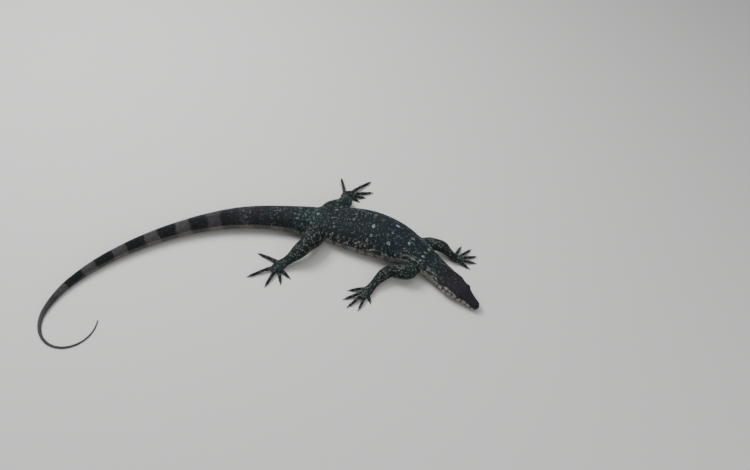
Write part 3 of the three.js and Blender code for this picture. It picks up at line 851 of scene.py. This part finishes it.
def on_skin(points):
    """The nearest places on the skin, with their normals, their distance and their share of limb."""
    found = [skin_tree.find_nearest(point) for point in points]
    spot = np.array([hit[0] for hit in found])
    corners = skin_faces[[hit[2] for hit in found]]
    a, b, c = (skin_spots[corners[:, k]] for k in range(3))
    whole = np.linalg.norm(np.cross(b - a, c - a), axis=1) + 1e-15
    share_a = np.linalg.norm(np.cross(b - spot, c - spot), axis=1) / whole
    share_b = np.linalg.norm(np.cross(c - spot, a - spot), axis=1) / whole
    shares = np.stack([share_a, share_b, np.maximum(1 - share_a - share_b, 0)], axis=1)
    normal = unit((skin_normals[corners] * shares[..., None]).sum(axis=1))
    return spot, normal, np.array([hit[3] for hit in found]), (skin_limb[corners] * shares).sum(axis=1)


beds = []


def lay_bed(name, surface, stations, row_of, lie, limb, along, station_scale=1.0, on_digit=False,
            loose=1.0, stagger=0.5, first=0.0, u_part=(0.0, 1.0), v_part=(0.0, 1.0)):
    """Scales in rows round a tube: row_of(station) gives their width across, length, height and keel."""
    fine = np.linspace(0, 2 * math.pi, 121)
    found = {key: [] for key in ("points", "along", "around", "size", "station", "lie")}
    for number, station in enumerate(stations):
        ring = surface(np.full(fine.shape, station), fine)
        run = np.concatenate([[0], np.cumsum(np.linalg.norm(np.diff(ring, axis=0), axis=1))])
        width, length, height, keel = row_of(station)
        count = max(5, round(run[-1] / width))
        waver = random.uniform(-0.09, 0.09, count) * loose
        spaced = ((np.arange(count) + stagger * (number % 2) + waver) / count + first) % 1
        angles = np.interp(spaced * run[-1], run, fine)
        shift = random.uniform(-0.09, 0.09, count) * length
        places = station + shift * station_scale
        found["points"].append(surface(places, angles))
        found["along"].append(along(places))
        found["around"].append(angles)
        found["size"].append(np.tile([length, run[-1] / count, height, keel], (count, 1)))
        found["station"].append(np.full(count, station))
        found["lie"].append(np.tile(lie(station), (count, 1)))
    bed = {key: np.concatenate(values) for key, values in found.items()}
    spot, normal, away, on_limb = on_skin(metres(bed["points"]))
    kept = (away < 4 * MM) & ((on_limb >= 0.5) == (limb > 0.5))
    turned = turn_from_back(bed["around"])
    span = stations[-1] - stations[0]
    beds.append({
        "name": np.full(kept.sum(), name), "spot": spot[kept], "normal": normal[kept],
        "lie": bed["lie"][kept],
        "size": bed["size"][kept] * [MM, MM, MM, 1], "along": bed["along"][kept] * MM, "around": turned[kept],
        "limb": np.full(kept.sum(), float(limb)),
        "digit": bed["station"][kept] if on_digit else np.zeros(kept.sum()),
        "u": u_part[0] + (bed["station"][kept] - stations[0]) / span * u_part[1],
        "v": v_part[0] + (turned[kept] / (2 * math.pi) + 0.5) * v_part[1],
    })


# Trunk rows: width across, length along, height and keel at distances from the snout
TRUNK_SCALES = smooth_table([
    (84, 1.75, 2.0, 0.42, 0), (142, 1.9, 2.35, 0.5, 0.1), (200, 1.95, 2.5, 0.5, 0.15),
    (300, 2.0, 2.6, 0.5, 0.15),
    (420, 1.95, 2.7, 0.5, 0.3), (500, 1.9, 3.0, 0.55, 0.6), (700, 1.7, 3.1, 0.5, 0.7),
    (900, 1.4, 2.5, 0.4, 0.6),
    (1050, 1.0, 1.9, 0.22, 0.5), (1166, 0.75, 1.5, 0.12, 0.4),
])
TRUNK_BEDS = [("scales_neck", 86, 150), ("scales_chest", 150, 262), ("scales_loins", 262, 385),
              ("scales_hips", 385, 530), ("scales_tail", 530, 760), ("scales_tail_end", 760, 1163)]


def rows_between(start, end, length_at):
    rows = [start]
    while rows[-1] < end:
        rows.append(rows[-1] + length_at(rows[-1]))
    return np.array(rows[:-1])


for bed_name, start, end in TRUNK_BEDS:
    lay_bed(
        bed_name, trunk_surface, rows_between(start, end, lambda s: TRUNK_SCALES(s)[1]),
        TRUNK_SCALES, lambda s: -trunk_axes(s)[1], 0, along=lambda s: s,
    )


def leg_rows(limb_name):
    """Widths, lengths, heights and keels of a leg's scales, which shrink towards the foot."""
    big = 1.12 if limb_name.startswith("hind") else 1.0
    return smooth_table([(0, 1.9 * big, 2.2 * big, 0.45, 0), (0.5, 1.75 * big, 2.0 * big, 0.42, 0),
                         (0.8, 1.5 * big, 1.7 * big, 0.34, 0), (1, 1.3 * big, 1.5 * big, 0.28, 0)])


for limb_name, base in limb_tubes.items():
    table = leg_rows(limb_name)
    stations = [0.12]
    while stations[-1] < 0.985:
        stations.append(stations[-1] + table(stations[-1])[1] / base.length)
    bed_name = "scales_" + limb_name.split("_")[0] + "_legs"
    half = 0.5 * (limb_name.endswith("left"))
    lay_bed(
        bed_name, base.surface, np.array(stations[:-1]), table, lambda u: base.axes(u)[1], 1,
        along=lambda u: u * base.length, station_scale=1 / base.length, v_part=(half, 0.34),
    )
    for order in range(5):
        digit = digit_tubes[limb_name, order][0]
        toe_rows = smooth_table([(0, 2.2, 1.7, 0.26, 0), (0.3, 3.6, 1.7, 0.28, 0), (1, 3.2, 1.7, 0.24, 0)])
        stations = np.arange(0.05, 0.99, 1.6 / digit.length)
        lay_bed(
            bed_name, digit.surface, stations, toe_rows, lambda u: digit.axes(u)[1], 1,
            along=lambda u: base.length + u * digit.length, station_scale=1 / digit.length, on_digit=True,
            loose=0.35, stagger=0.0, first=0.25, u_part=(order * 0.2, 0.18), v_part=(half + 0.36, 0.12),
        )


def set_apart(points, gaps, order, cell_size):
    """Picks points in turn, each at least its own gap from all picked before it; cells speed the search."""
    picked, cells = [], {}
    for number in order:
        point, gap = points[number], gaps[number]
        cell = tuple((point // cell_size).astype(int))
        nearby = [other for dx in (-1, 0, 1) for dy in (-1, 0, 1) for dz in (-1, 0, 1)
                  for other in cells.get((cell[0] + dx, cell[1] + dy, cell[2] + dz), ())]
        if all(np.dot(point - points[other], point - points[other]) >= gap * gap for other in nearby):
            cells.setdefault(cell, []).append(number)
            picked.append(number)
    return picked


# Head plates: mixed sizes, larger on the crown and lips and tiny about the eyes, temples and throat
HEAD_FINE = 0.62


def head_spacing(distance, degrees):
    from_top = np.abs((degrees - 90 + 180) % 360 - 180)
    crown = bell(from_top, 42) * ease(distance, 4, 14) * (1 - 0.25 * ease(distance, 56, 84))
    throat = ease(from_top, 100, 125)
    return 1.45 + 0.75 * crown - 0.12 * throat + 0.25 * (1 - ease(distance, 4, 20))


stations = np.arange(0.8, 87, HEAD_FINE)
spread_angles = np.linspace(0, 2 * math.pi, 200, endpoint=False)
tried_distance = np.repeat(stations, 200) + random.uniform(-0.3, 0.3, len(stations) * 200)
tried_angle = np.tile(spread_angles, len(stations)) + random.uniform(-0.02, 0.02, len(stations) * 200)
lip_distance = np.arange(2.5, MOUTH_CORNER, 2.3)
lip_sets = []
for level, offset in ((1, 1.25), (-1, 1.25)):
    for mirrored in (0, 1):
        turn = level * offset / np.maximum(girth(lip_distance)[:, 0], 1)
        lip_sets.append(np.stack([lip_distance, math.pi - turn if mirrored else turn], axis=1))
lip_sites = np.concatenate(lip_sets)
order_tried = random.permutation(len(tried_distance))
tried = np.concatenate([lip_sites, np.stack([tried_distance, tried_angle], axis=1)[order_tried]])
tried_points = trunk_surface(np.maximum(tried[:, 0], 0.2), tried[:, 1])
spacing = head_spacing(tried[:, 0], np.degrees(tried[:, 1]) % 360)
spacing[:len(lip_sites)] = 1.9

# The lids wear rings of tiny grains, and the plates next to them are small too
LID_GRAINS = 0.78
lid_turns = np.linspace(0, 2 * math.pi, 90, endpoint=False)
lid_tilts = np.radians(np.arange(36, 84, 3.2))
lid_local = np.stack([
    np.outer(np.sin(lid_tilts), np.cos(lid_turns)), np.outer(np.sin(lid_tilts), np.sin(lid_turns)),
    np.outer(np.cos(lid_tilts), np.ones(len(lid_turns))),
], axis=-1).reshape(-1, 3) * lid_reach
eye_centres = []
for hand in (1, -1):
    place = np.array(head_place(EYE, hand))
    centre = place[:3, 3] / MM - CENTRING
    eye_centres.append(centre)
    tried_points = np.concatenate([tried_points, centre + lid_local @ place[:3, :3].T])
    mark = [EYE["along"], math.pi / 2 - hand * 0.95]
    tried = np.concatenate([tried, np.tile(mark, (len(lid_local), 1))])
    spacing = np.concatenate([spacing, np.full(len(lid_local), LID_GRAINS)])
from_eye = np.min([np.linalg.norm(tried_points - centre, axis=1) for centre in eye_centres], axis=0)
from_hole = np.full(len(tried_points), 100.0)
for hollow in (EAR, NOSTRIL):
    for hand in (1, -1):
        local = seen_from(hollow, hand, metres(tried_points)) / np.array(hollow["sizes"])
        from_hole = np.minimum(from_hole, (np.linalg.norm(local, axis=1) - 1) * min(hollow["sizes"][:2]))
on_lid = np.arange(len(spacing)) >= len(spacing) - 2 * len(lid_local)
finer = (0.5 + 0.5 * ease(from_eye, lid_reach, lid_reach + 4)) * (0.55 + 0.45 * ease(from_hole, 0.3, 2.6))
spacing = np.where(on_lid, spacing, spacing * finer)
# Over each eye lies a row of plates that are wider than they are long: nothing else is set beside them
OVER_EYE = np.arange(35.5, 53, 2.35)
OVER_EYE_SIDE = 27           # degrees from the top of the head
wide_marks = np.array([
    (distance, math.radians(90 + side)) for side in (OVER_EYE_SIDE, -OVER_EYE_SIDE) for distance in OVER_EYE])
over_eye = trunk_surface(wide_marks[:, 0], wide_marks[:, 1])
over_ahead = trunk_axes(wide_marks[:, 0])[1]
offsets = tried_points[:, None] - over_eye[None]
offset_ahead = (offsets * over_ahead[None]).sum(axis=2)
offset_aside = np.sqrt(np.maximum((offsets**2).sum(axis=2) - offset_ahead**2, 0))
beside_wide = (np.hypot(offset_ahead / 1.5, offset_aside / 3.0) < 1).any(axis=1)
free = np.flatnonzero((from_eye >= lid_reach - 0.15) & ~beside_wide)
chosen = set_apart(tried_points, spacing, free, 2.6)
wide = np.arange(len(wide_marks)) + len(tried_points)
tried_points = np.concatenate([tried_points, over_eye])
tried = np.concatenate([tried, wide_marks])
spacing = np.concatenate([spacing, np.full(len(wide), 2.1)])
chosen = np.concatenate([chosen, wide])
spot, normal, away, on_limb = on_skin(metres(tried_points[chosen]))


HOLE_EDGE = 0.3              # bare hide round an ear, nostril or eye


def in_hollow(spot):
    """True where a place on the skin lies in an ear or nostril, or inside the parted lids."""
    inside = np.zeros(len(spot), bool)
    for hand in (1, -1):
        for hollow, sizes in ((EAR, EAR["sizes"]), (NOSTRIL, NOSTRIL["sizes"]), (EYE, [lid_reach - 0.6] * 3)):
            local = seen_from(hollow, hand, spot) / (np.array(sizes) + HOLE_EDGE)
            inside |= np.linalg.norm(local, axis=1) < 1
        local = seen_from(EYE, hand, spot)
        inside |= (np.hypot(local[:, 0] / LID_OPENING[0], local[:, 1] / LID_OPENING[1]) < 1.1) & (
            np.abs(local[:, 2]) < 8)
    return inside


clear = (away < MM) & ~in_hollow(spot)
chosen, spot, normal = chosen[clear], spot[clear], normal[clear]
turned = turn_from_back(tried[chosen, 1])
gaps = spacing[chosen]
stretch = np.where(gaps < 1.2, 1.15, 1.45)
plate_width = gaps * np.where(chosen >= wide[0], 2.3, stretch)
beds.append({
    "name": np.full(len(chosen), "scales_head"), "spot": spot, "normal": normal,
    "lie": -trunk_axes(np.maximum(tried[chosen, 0], 0.2))[1],
    "size": np.stack([gaps * stretch, plate_width, 0.12 + 0.065 * gaps, np.zeros(len(gaps))],
                     axis=1) * [MM, MM, MM, 1],
    "along": tried[chosen, 0] * MM, "around": turned, "limb": np.zeros(len(chosen)),
    "digit": np.zeros(len(chosen)), "u": tried[chosen, 0] / 90, "v": turned / (2 * math.pi) + 0.5,
})

sites = {key: np.concatenate([bed[key] for bed in beds]) for key in beds[0]}
order_kept = np.argsort(sites["name"] != "scales_head", kind="stable")
sites = {key: values[order_kept] for key, values in sites.items()}

# Where two beds meet, the later scale gives way to the one already laid
site_tree = tree_of(sites["spot"])
laid = np.ones(len(sites["spot"]), bool)
for number, (point, (length, width, _, _)) in enumerate(zip(sites["spot"], sites["size"])):
    if not laid[number]:
        continue
    for _, other, _ in site_tree.find_range(point, 0.52 * min(length, width)):
        if other > number:
            laid[other] = False
sites = {key: values[laid] for key, values in sites.items()}

# Rows spread on the outside of a bend: small scales fill what is left bare there and at the limbs' roots
FILL = 0.80
site_tree = tree_of(sites["spot"])
bare = skin_spots[skin_faces].mean(axis=1)
bare_normals = unit(skin_normals[skin_faces].sum(axis=1))
nearest = [site_tree.find(point) for point in bare]
beside = np.array([hit[1] for hit in nearest])
apart = np.array([hit[2] for hit in nearest])
usual = sites["size"][:, :2].mean(axis=1)[beside]
is_bare = (apart > FILL * usual) & (apart < 6 * MM)
wanted = np.flatnonzero(is_bare & ~in_hollow(bare) & (bare[:, 2] > 0.4 * MM))
added = np.array(set_apart(bare, FILL * usual, random.permutation(wanted), 3 * MM), int)
extra = {key: values[beside[added]].copy() for key, values in sites.items()}
moved = bare[added] - extra["spot"]
extra["u"] += (moved * unit(extra["lie"])).sum(axis=1) * 3.0
extra["v"] += (moved * np.cross(extra["normal"], unit(extra["lie"]))).sum(axis=1) * 6.0
extra["spot"], extra["normal"] = bare[added], bare_normals[added]
sites = {key: np.concatenate([values, extra[key]]) for key, values in sites.items()}

# Each scale reaches about half way to its neighbours, less a gap, and no further than its own oval
NEIGHBOURS = 9
site_tree = tree_of(sites["spot"])
near = np.array([[other for _, other, _ in site_tree.find_n(point, NEIGHBOURS)] for point in sites["spot"]])
normal = sites["normal"]
lie = unit(sites["lie"] - normal * (sites["lie"] * normal).sum(axis=1, keepdims=True))
across = np.cross(normal, lie)
offset = sites["spot"][near[:, 1:]] - sites["spot"][:, None, :]
offset_x = (offset * lie[:, None, :]).sum(axis=2)
offset_y = (offset * across[:, None, :]).sum(axis=2)
offset_z = (offset * normal[:, None, :]).sum(axis=2)

# How the skin bends away under each scale, along it and across it, fitted to where its neighbours lie
SHARPEST_BEND = 210
square_x, square_y = offset_x**2, offset_y**2
xx, xy, yy = ((a * b).sum(axis=1) for a, b in (
    (square_x, square_x), (square_x, square_y), (square_y, square_y)))
steady = 0.01 * (xx + yy)
fall_x, fall_y = (offset_z * square_x).sum(axis=1), (offset_z * square_y).sum(axis=1)
whole = (xx + steady) * (yy + steady) - xy**2
bend_x = np.clip((fall_x * (yy + steady) - fall_y * xy) / whole, -SHARPEST_BEND, 0)
bend_y = np.clip((fall_y * (xx + steady) - fall_x * xy) / whole, -SHARPEST_BEND, 0)
bulk = (sites["size"][:, :2].mean(axis=1) * 0.4) ** 2
more_bulk = bulk[:, None] - bulk[near[:, 1:]]


def scale_piece(name, sides, level, gap):
    """All scales of one bed as a mesh: a sunk rim, a raised shoulder at a share of its reach, and a crown."""
    own = np.flatnonzero(sites["name"] == name)
    count = len(own)
    angle = np.linspace(0, 2 * math.pi, sides, endpoint=False) + math.pi / sides
    way_x, way_y = np.cos(angle), np.sin(angle)
    far_x, far_y = offset_x[own][:, None, :], offset_y[own][:, None, :]
    apart = np.hypot(far_x, far_y) + 1e-9
    facing = (way_x[None, :, None] * far_x + way_y[None, :, None] * far_y) / apart
    border = apart / 2 + more_bulk[own][:, None, :] / (2 * apart)
    halfway = np.where(facing > 0.05, border / np.maximum(facing, 0.05), 1.0).min(axis=2) - gap / 2
    length, width, height, keel = sites["size"][own].T[:, :, None]
    oval = 1 / np.sqrt((way_x / (length * 0.6)) ** 2 + (way_y / (width * 0.6)) ** 2)
    reach = np.maximum(np.minimum(halfway, oval), 0.12 * MM)
    bend = bend_x[own][:, None] * (reach * way_x) ** 2 + bend_y[own][:, None] * (reach * way_y) ** 2
    rim = np.stack([reach * way_x, reach * way_y, bend - 0.5 * height], axis=2)
    lean = 1 + 0.22 * way_x
    ridge = 1 - 0.75 * keel * np.abs(way_y)
    raised = height * 0.74 * lean * ridge + bend * level**2
    shoulder = np.stack([reach * way_x * level, reach * way_y * level, raised], axis=2)
    crown = np.zeros((count, 1, 3))
    crown[:, 0, 2] = height[:, 0] * (1 + 0.15 * keel[:, 0])
    local = np.concatenate([rim, shoulder, crown], axis=1)
    spot = sites["spot"][own][:, None, :]
    points = (spot + local[..., :1] * lie[own][:, None, :] + local[..., 1:2] * across[own][:, None, :]
              + local[..., 2:] * normal[own][:, None, :])
    points[..., 2] = np.maximum(points[..., 2], 0.05 * MM)

    each = 2 * sides + 1
    step = np.arange(sides)
    after = (step + 1) % sides
    walls = np.stack([step, after, after + sides, step + sides], axis=1)
    tops = np.stack([step + sides, after + sides, np.full(sides, 2 * sides)], axis=1)
    first = np.arange(count)[:, None] * each
    corners = np.concatenate([walls.ravel()[None, :] + first, tops.ravel()[None, :] + first], axis=1).ravel()
    sizes = np.tile(np.concatenate([np.full(sides, 4), np.full(sides, 3)]), count)
    mesh = bpy.data.meshes.new(name)
    mesh.vertices.add(count * each)
    mesh.vertices.foreach_set("co", points.astype(np.float32).ravel())
    mesh.loops.add(len(corners))
    mesh.loops.foreach_set("vertex_index", corners.astype(np.int32))
    mesh.polygons.add(len(sizes))
    mesh.polygons.foreach_set("loop_start", (np.cumsum(sizes) - sizes).astype(np.int32))
    mesh.update(calc_edges=True)
    mesh.shade_smooth()

    tone = random.uniform(0, 1, count)
    values = {key: np.repeat(sites[key][own], each) for key in ("along", "around", "limb", "digit")}
    values["down"] = np.abs(values["around"]) / math.pi
    values["tone"] = np.repeat(tone, each)
    # The rise mark carries the painted shade: 0 on the sunk rim, where the finish darkens each scale, up to 1
    # on the crown
    values["rise"] = np.tile(np.concatenate([np.zeros(sides), np.full(sides, 0.9), [1]]), count)
    for key, value in values.items():
        write_mark(mesh, key, value)
    root = np.repeat(sites["spot"][own], each, axis=0).astype(np.float32).ravel()
    mesh.attributes.new("root", "FLOAT_VECTOR", "POINT").data.foreach_set("vector", root)
    patch = local[..., :2] / np.abs(local[..., :2]).max(axis=(1, 2), keepdims=True) * 0.0015
    middle_uv = np.stack([sites["u"][own], sites["v"][own]], axis=1) * 0.994 + 0.003
    uv = (middle_uv[:, None, :] + patch).reshape(-1, 2)
    mesh.uv_layers.new(name="OFBake").data.foreach_set("uv", uv[corners].astype(np.float32).ravel())
    piece = bpy.data.objects.new(name, mesh)
    bpy.context.scene.collection.objects.link(piece)
    piece.data.materials.append(scale_finish)
    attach(piece, "root")
    return piece


scale_finish = hide_finish("horny_scales", scaled=True)
for bed_name in dict.fromkeys(sites["name"]):
    if bed_name == "scales_head":
        scale_piece(bed_name, 12, 0.86, 0.10 * MM)
    else:
        scale_piece(bed_name, 6, 0.74, 0.12 * MM)


# Eyes
# Each is a smooth, glossy dark ball with a slight bulge at the front, and shows a narrow golden ring about
# a round pupil. It sits in its socket behind the lids.
EYE_BULGE = 0.35


def eye_finish():
    glass = Finish("eye_gloss")
    out = glass.read("off_axis")
    veins = glass.speckle(0.0006, 3.0)
    iris = glass.blend((0.055, 0.030, 0.010, 1), (0.018, 0.010, 0.005, 1), glass.rise(veins, 0.4, 0.62))
    ring = glass.blend(iris, (0.26, 0.16, 0.05, 1), glass.rise(out, 0.47, 0.43) * 0.7)
    colour = glass.blend(ring, (0.002, 0.002, 0.002, 1), glass.rise(out, 0.405, 0.385))
    colour = glass.blend(colour, (0.012, 0.010, 0.009, 1), glass.rise(out, 0.66, 0.72))
    return glass.finished({"Base Color": colour, "Roughness": 0.09, "IOR": 1.38})


eye_glaze = eye_finish()
for side_name, hand in (("left", 1), ("right", -1)):
    bm = bmesh.new()
    bmesh.ops.create_uvsphere(bm, u_segments=48, v_segments=32, radius=EYE["radius"] * MM)
    for vertex in bm.verts:
        tilt = vertex.co.xy.length / (EYE["radius"] * MM) if vertex.co.z > 0 else 1.0
        vertex.co.z += EYE_BULGE * MM * math.exp(-((tilt / 0.55) ** 2)) * (vertex.co.z > 0)
    off_axis = [vertex.co.xy.length / (EYE["radius"] * MM) if vertex.co.z > 0 else 1.0 for vertex in bm.verts]
    bmesh.ops.transform(bm, matrix=head_place(EYE, hand), verts=bm.verts)
    eyeball = object_of(bm, f"eyeball_{side_name}")
    write_mark(eyeball.data, "off_axis", off_axis)
    eyeball.data.shade_smooth()
    eyeball.data.materials.append(eye_glaze)
    bpy.context.scene.collection.objects.link(eyeball)
    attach(eyeball, "root")
    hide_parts(f"eye_{side_name}")


# Claws
# One on each digit: a dark horn blade, deeper than it is wide, that leaves the toe level and hooks down to a
# sharp tip on the floor, with a paler root under a cuff of skin.
CLAW_DEPTH, CLAW_WIDTH = 1.95, 1.3


def claw_finish():
    horn = Finish("claw_horn")
    share = horn.read("share")
    streak = horn.speckle(0.0011, 3.0)
    colour = horn.blend((0.055, 0.045, 0.036, 1), (0.010, 0.008, 0.007, 1),
                        horn.rise(share + (streak - 0.5) * 0.3, 0.05, 0.45))
    colour = horn.blend(colour, (0.05, 0.036, 0.022, 1), horn.rise(share, 0.86, 1.0))
    return horn.finished({
        "Base Color": colour, "Roughness": 0.28 + streak * 0.12, "Specular IOR Level": 0.55,
        "Normal": horn.node("Bump", None, {"Height": streak, "Strength": 0.2, "Distance": 0.0002})})


claw_glaze = claw_finish()
for (limb_name, order), (digit, way) in digit_tubes.items():
    tip, ahead, across, above = digit.axes(1.0)
    start = tip - ahead * 0.6
    bend = start + ahead * (CLAW_LENGTH * 0.6 + 0.6)
    end = tip + way * (CLAW_LENGTH + 0.3)
    end[2] = 0.45
    rows, sides = 22, 14
    share = np.linspace(0, 1, rows)
    line = (np.outer((1 - share) ** 2, start) + np.outer(2 * share * (1 - share), bend)
            + np.outer(share**2, end))
    forward = unit(np.gradient(line, axis=0))
    sideways = unit(np.cross(forward, [0, 0, 1]))
    upright = np.cross(sideways, forward)
    turn = np.linspace(0, 2 * math.pi, sides, endpoint=False)
    thin = (1 - share) ** 0.8
    wide = (CLAW_WIDTH * thin + 0.12)[:, None] * np.sign(np.cos(turn)) * np.abs(np.cos(turn)) ** 0.9
    # The underside is flatter than the curved back of the claw
    tall = (CLAW_DEPTH * thin + 0.12)[:, None] * np.where(np.sin(turn) > 0, np.sin(turn), 0.75 * np.sin(turn))
    points = line[:, None] + sideways[:, None] * wide[..., None] + upright[:, None] * tall[..., None]
    point_end = end + forward[-1] * 0.2
    points = np.concatenate([np.tile(start, (1, sides, 1)), points, np.tile(point_end, (1, sides, 1))])
    points[..., 2] = np.maximum(points[..., 2], 0.15)
    claw = closed_tube(f"claw_blade_{limb_name}_{order + 1}", metres(points))
    spots_on = np.array([vertex.co for vertex in claw.data.vertices])
    run = np.linalg.norm(spots_on - metres(start), axis=1) / ((CLAW_LENGTH + 0.9) * MM)
    write_mark(claw.data, "share", run)
    claw.data.shade_smooth()
    claw.data.materials.append(claw_glaze)
    bpy.context.scene.collection.objects.link(claw)
    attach(claw, "root")
    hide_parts(f"claw_{limb_name}_{order + 1}")


# Studio
# A plain pale floor under the figure, soft light from large panels, and the camera where the photograph
# was taken from, above and in front of the lizard's right side.
FLOOR_SIZE = 6.0
FOCAL_PIXELS = 617.2
IMAGE_WIDTH = 750
CAMERA_PLACE = (0.1886, -0.6735, 1.078)
CAMERA_PITCH, CAMERA_ROLL = 54.34, 7.6

bm = bmesh.new()
bmesh.ops.create_grid(bm, x_segments=1, y_segments=1, size=FLOOR_SIZE / 2)
floor = object_of(bm, "studio_floor")
floor.data.materials.append(Finish("pale_paper").finished({
    "Base Color": (0.60, 0.59, 0.575, 1), "Roughness": 0.9, "Specular IOR Level": 0.2}))
bpy.context.scene.collection.objects.link(floor)

camera_data = bpy.data.cameras.new("photo_camera")
camera_data.sensor_width = 36
camera_data.lens = FOCAL_PIXELS / IMAGE_WIDTH * camera_data.sensor_width
camera_data.clip_start = 0.01
camera = bpy.data.objects.new("photo_camera", camera_data)
pitch, roll = math.radians(CAMERA_PITCH), math.radians(CAMERA_ROLL)
look = Vector((0, math.cos(pitch), -math.sin(pitch)))
level_up = Vector((0, math.sin(pitch), math.cos(pitch)))
right = math.cos(roll) * Vector((1, 0, 0)) + math.sin(roll) * level_up
upward = -math.sin(roll) * Vector((1, 0, 0)) + math.cos(roll) * level_up
camera.matrix_world = Matrix.Translation(CAMERA_PLACE) @ Matrix((right, upward, -look)).transposed().to_4x4()
bpy.context.scene.collection.objects.link(camera)
bpy.context.scene.camera = camera

for light_name, place, size, watts in (
    ("key_panel", (-0.9, 0.7, 1.6), 0.9, 46), ("fill_panel", (1.3, -1.2, 1.3), 1.2, 13),
    ("top_panel", (0.2, 0.3, 2.2), 1.4, 14),
):
    panel = bpy.data.lights.new(light_name, "AREA")
    panel.size = size
    panel.energy = watts
    lamp = bpy.data.objects.new(light_name, panel)
    lamp.location = place
    lamp.rotation_euler = Vector(place).to_track_quat("Z", "Y").to_euler()
    bpy.context.scene.collection.objects.link(lamp)
world = bpy.data.worlds.new("studio_world")
world.use_nodes = True
world.node_tree.nodes["Background"].inputs["Color"].default_value = (0.75, 0.78, 0.82, 1)
world.node_tree.nodes["Background"].inputs["Strength"].default_value = 0.32
bpy.context.scene.world = world
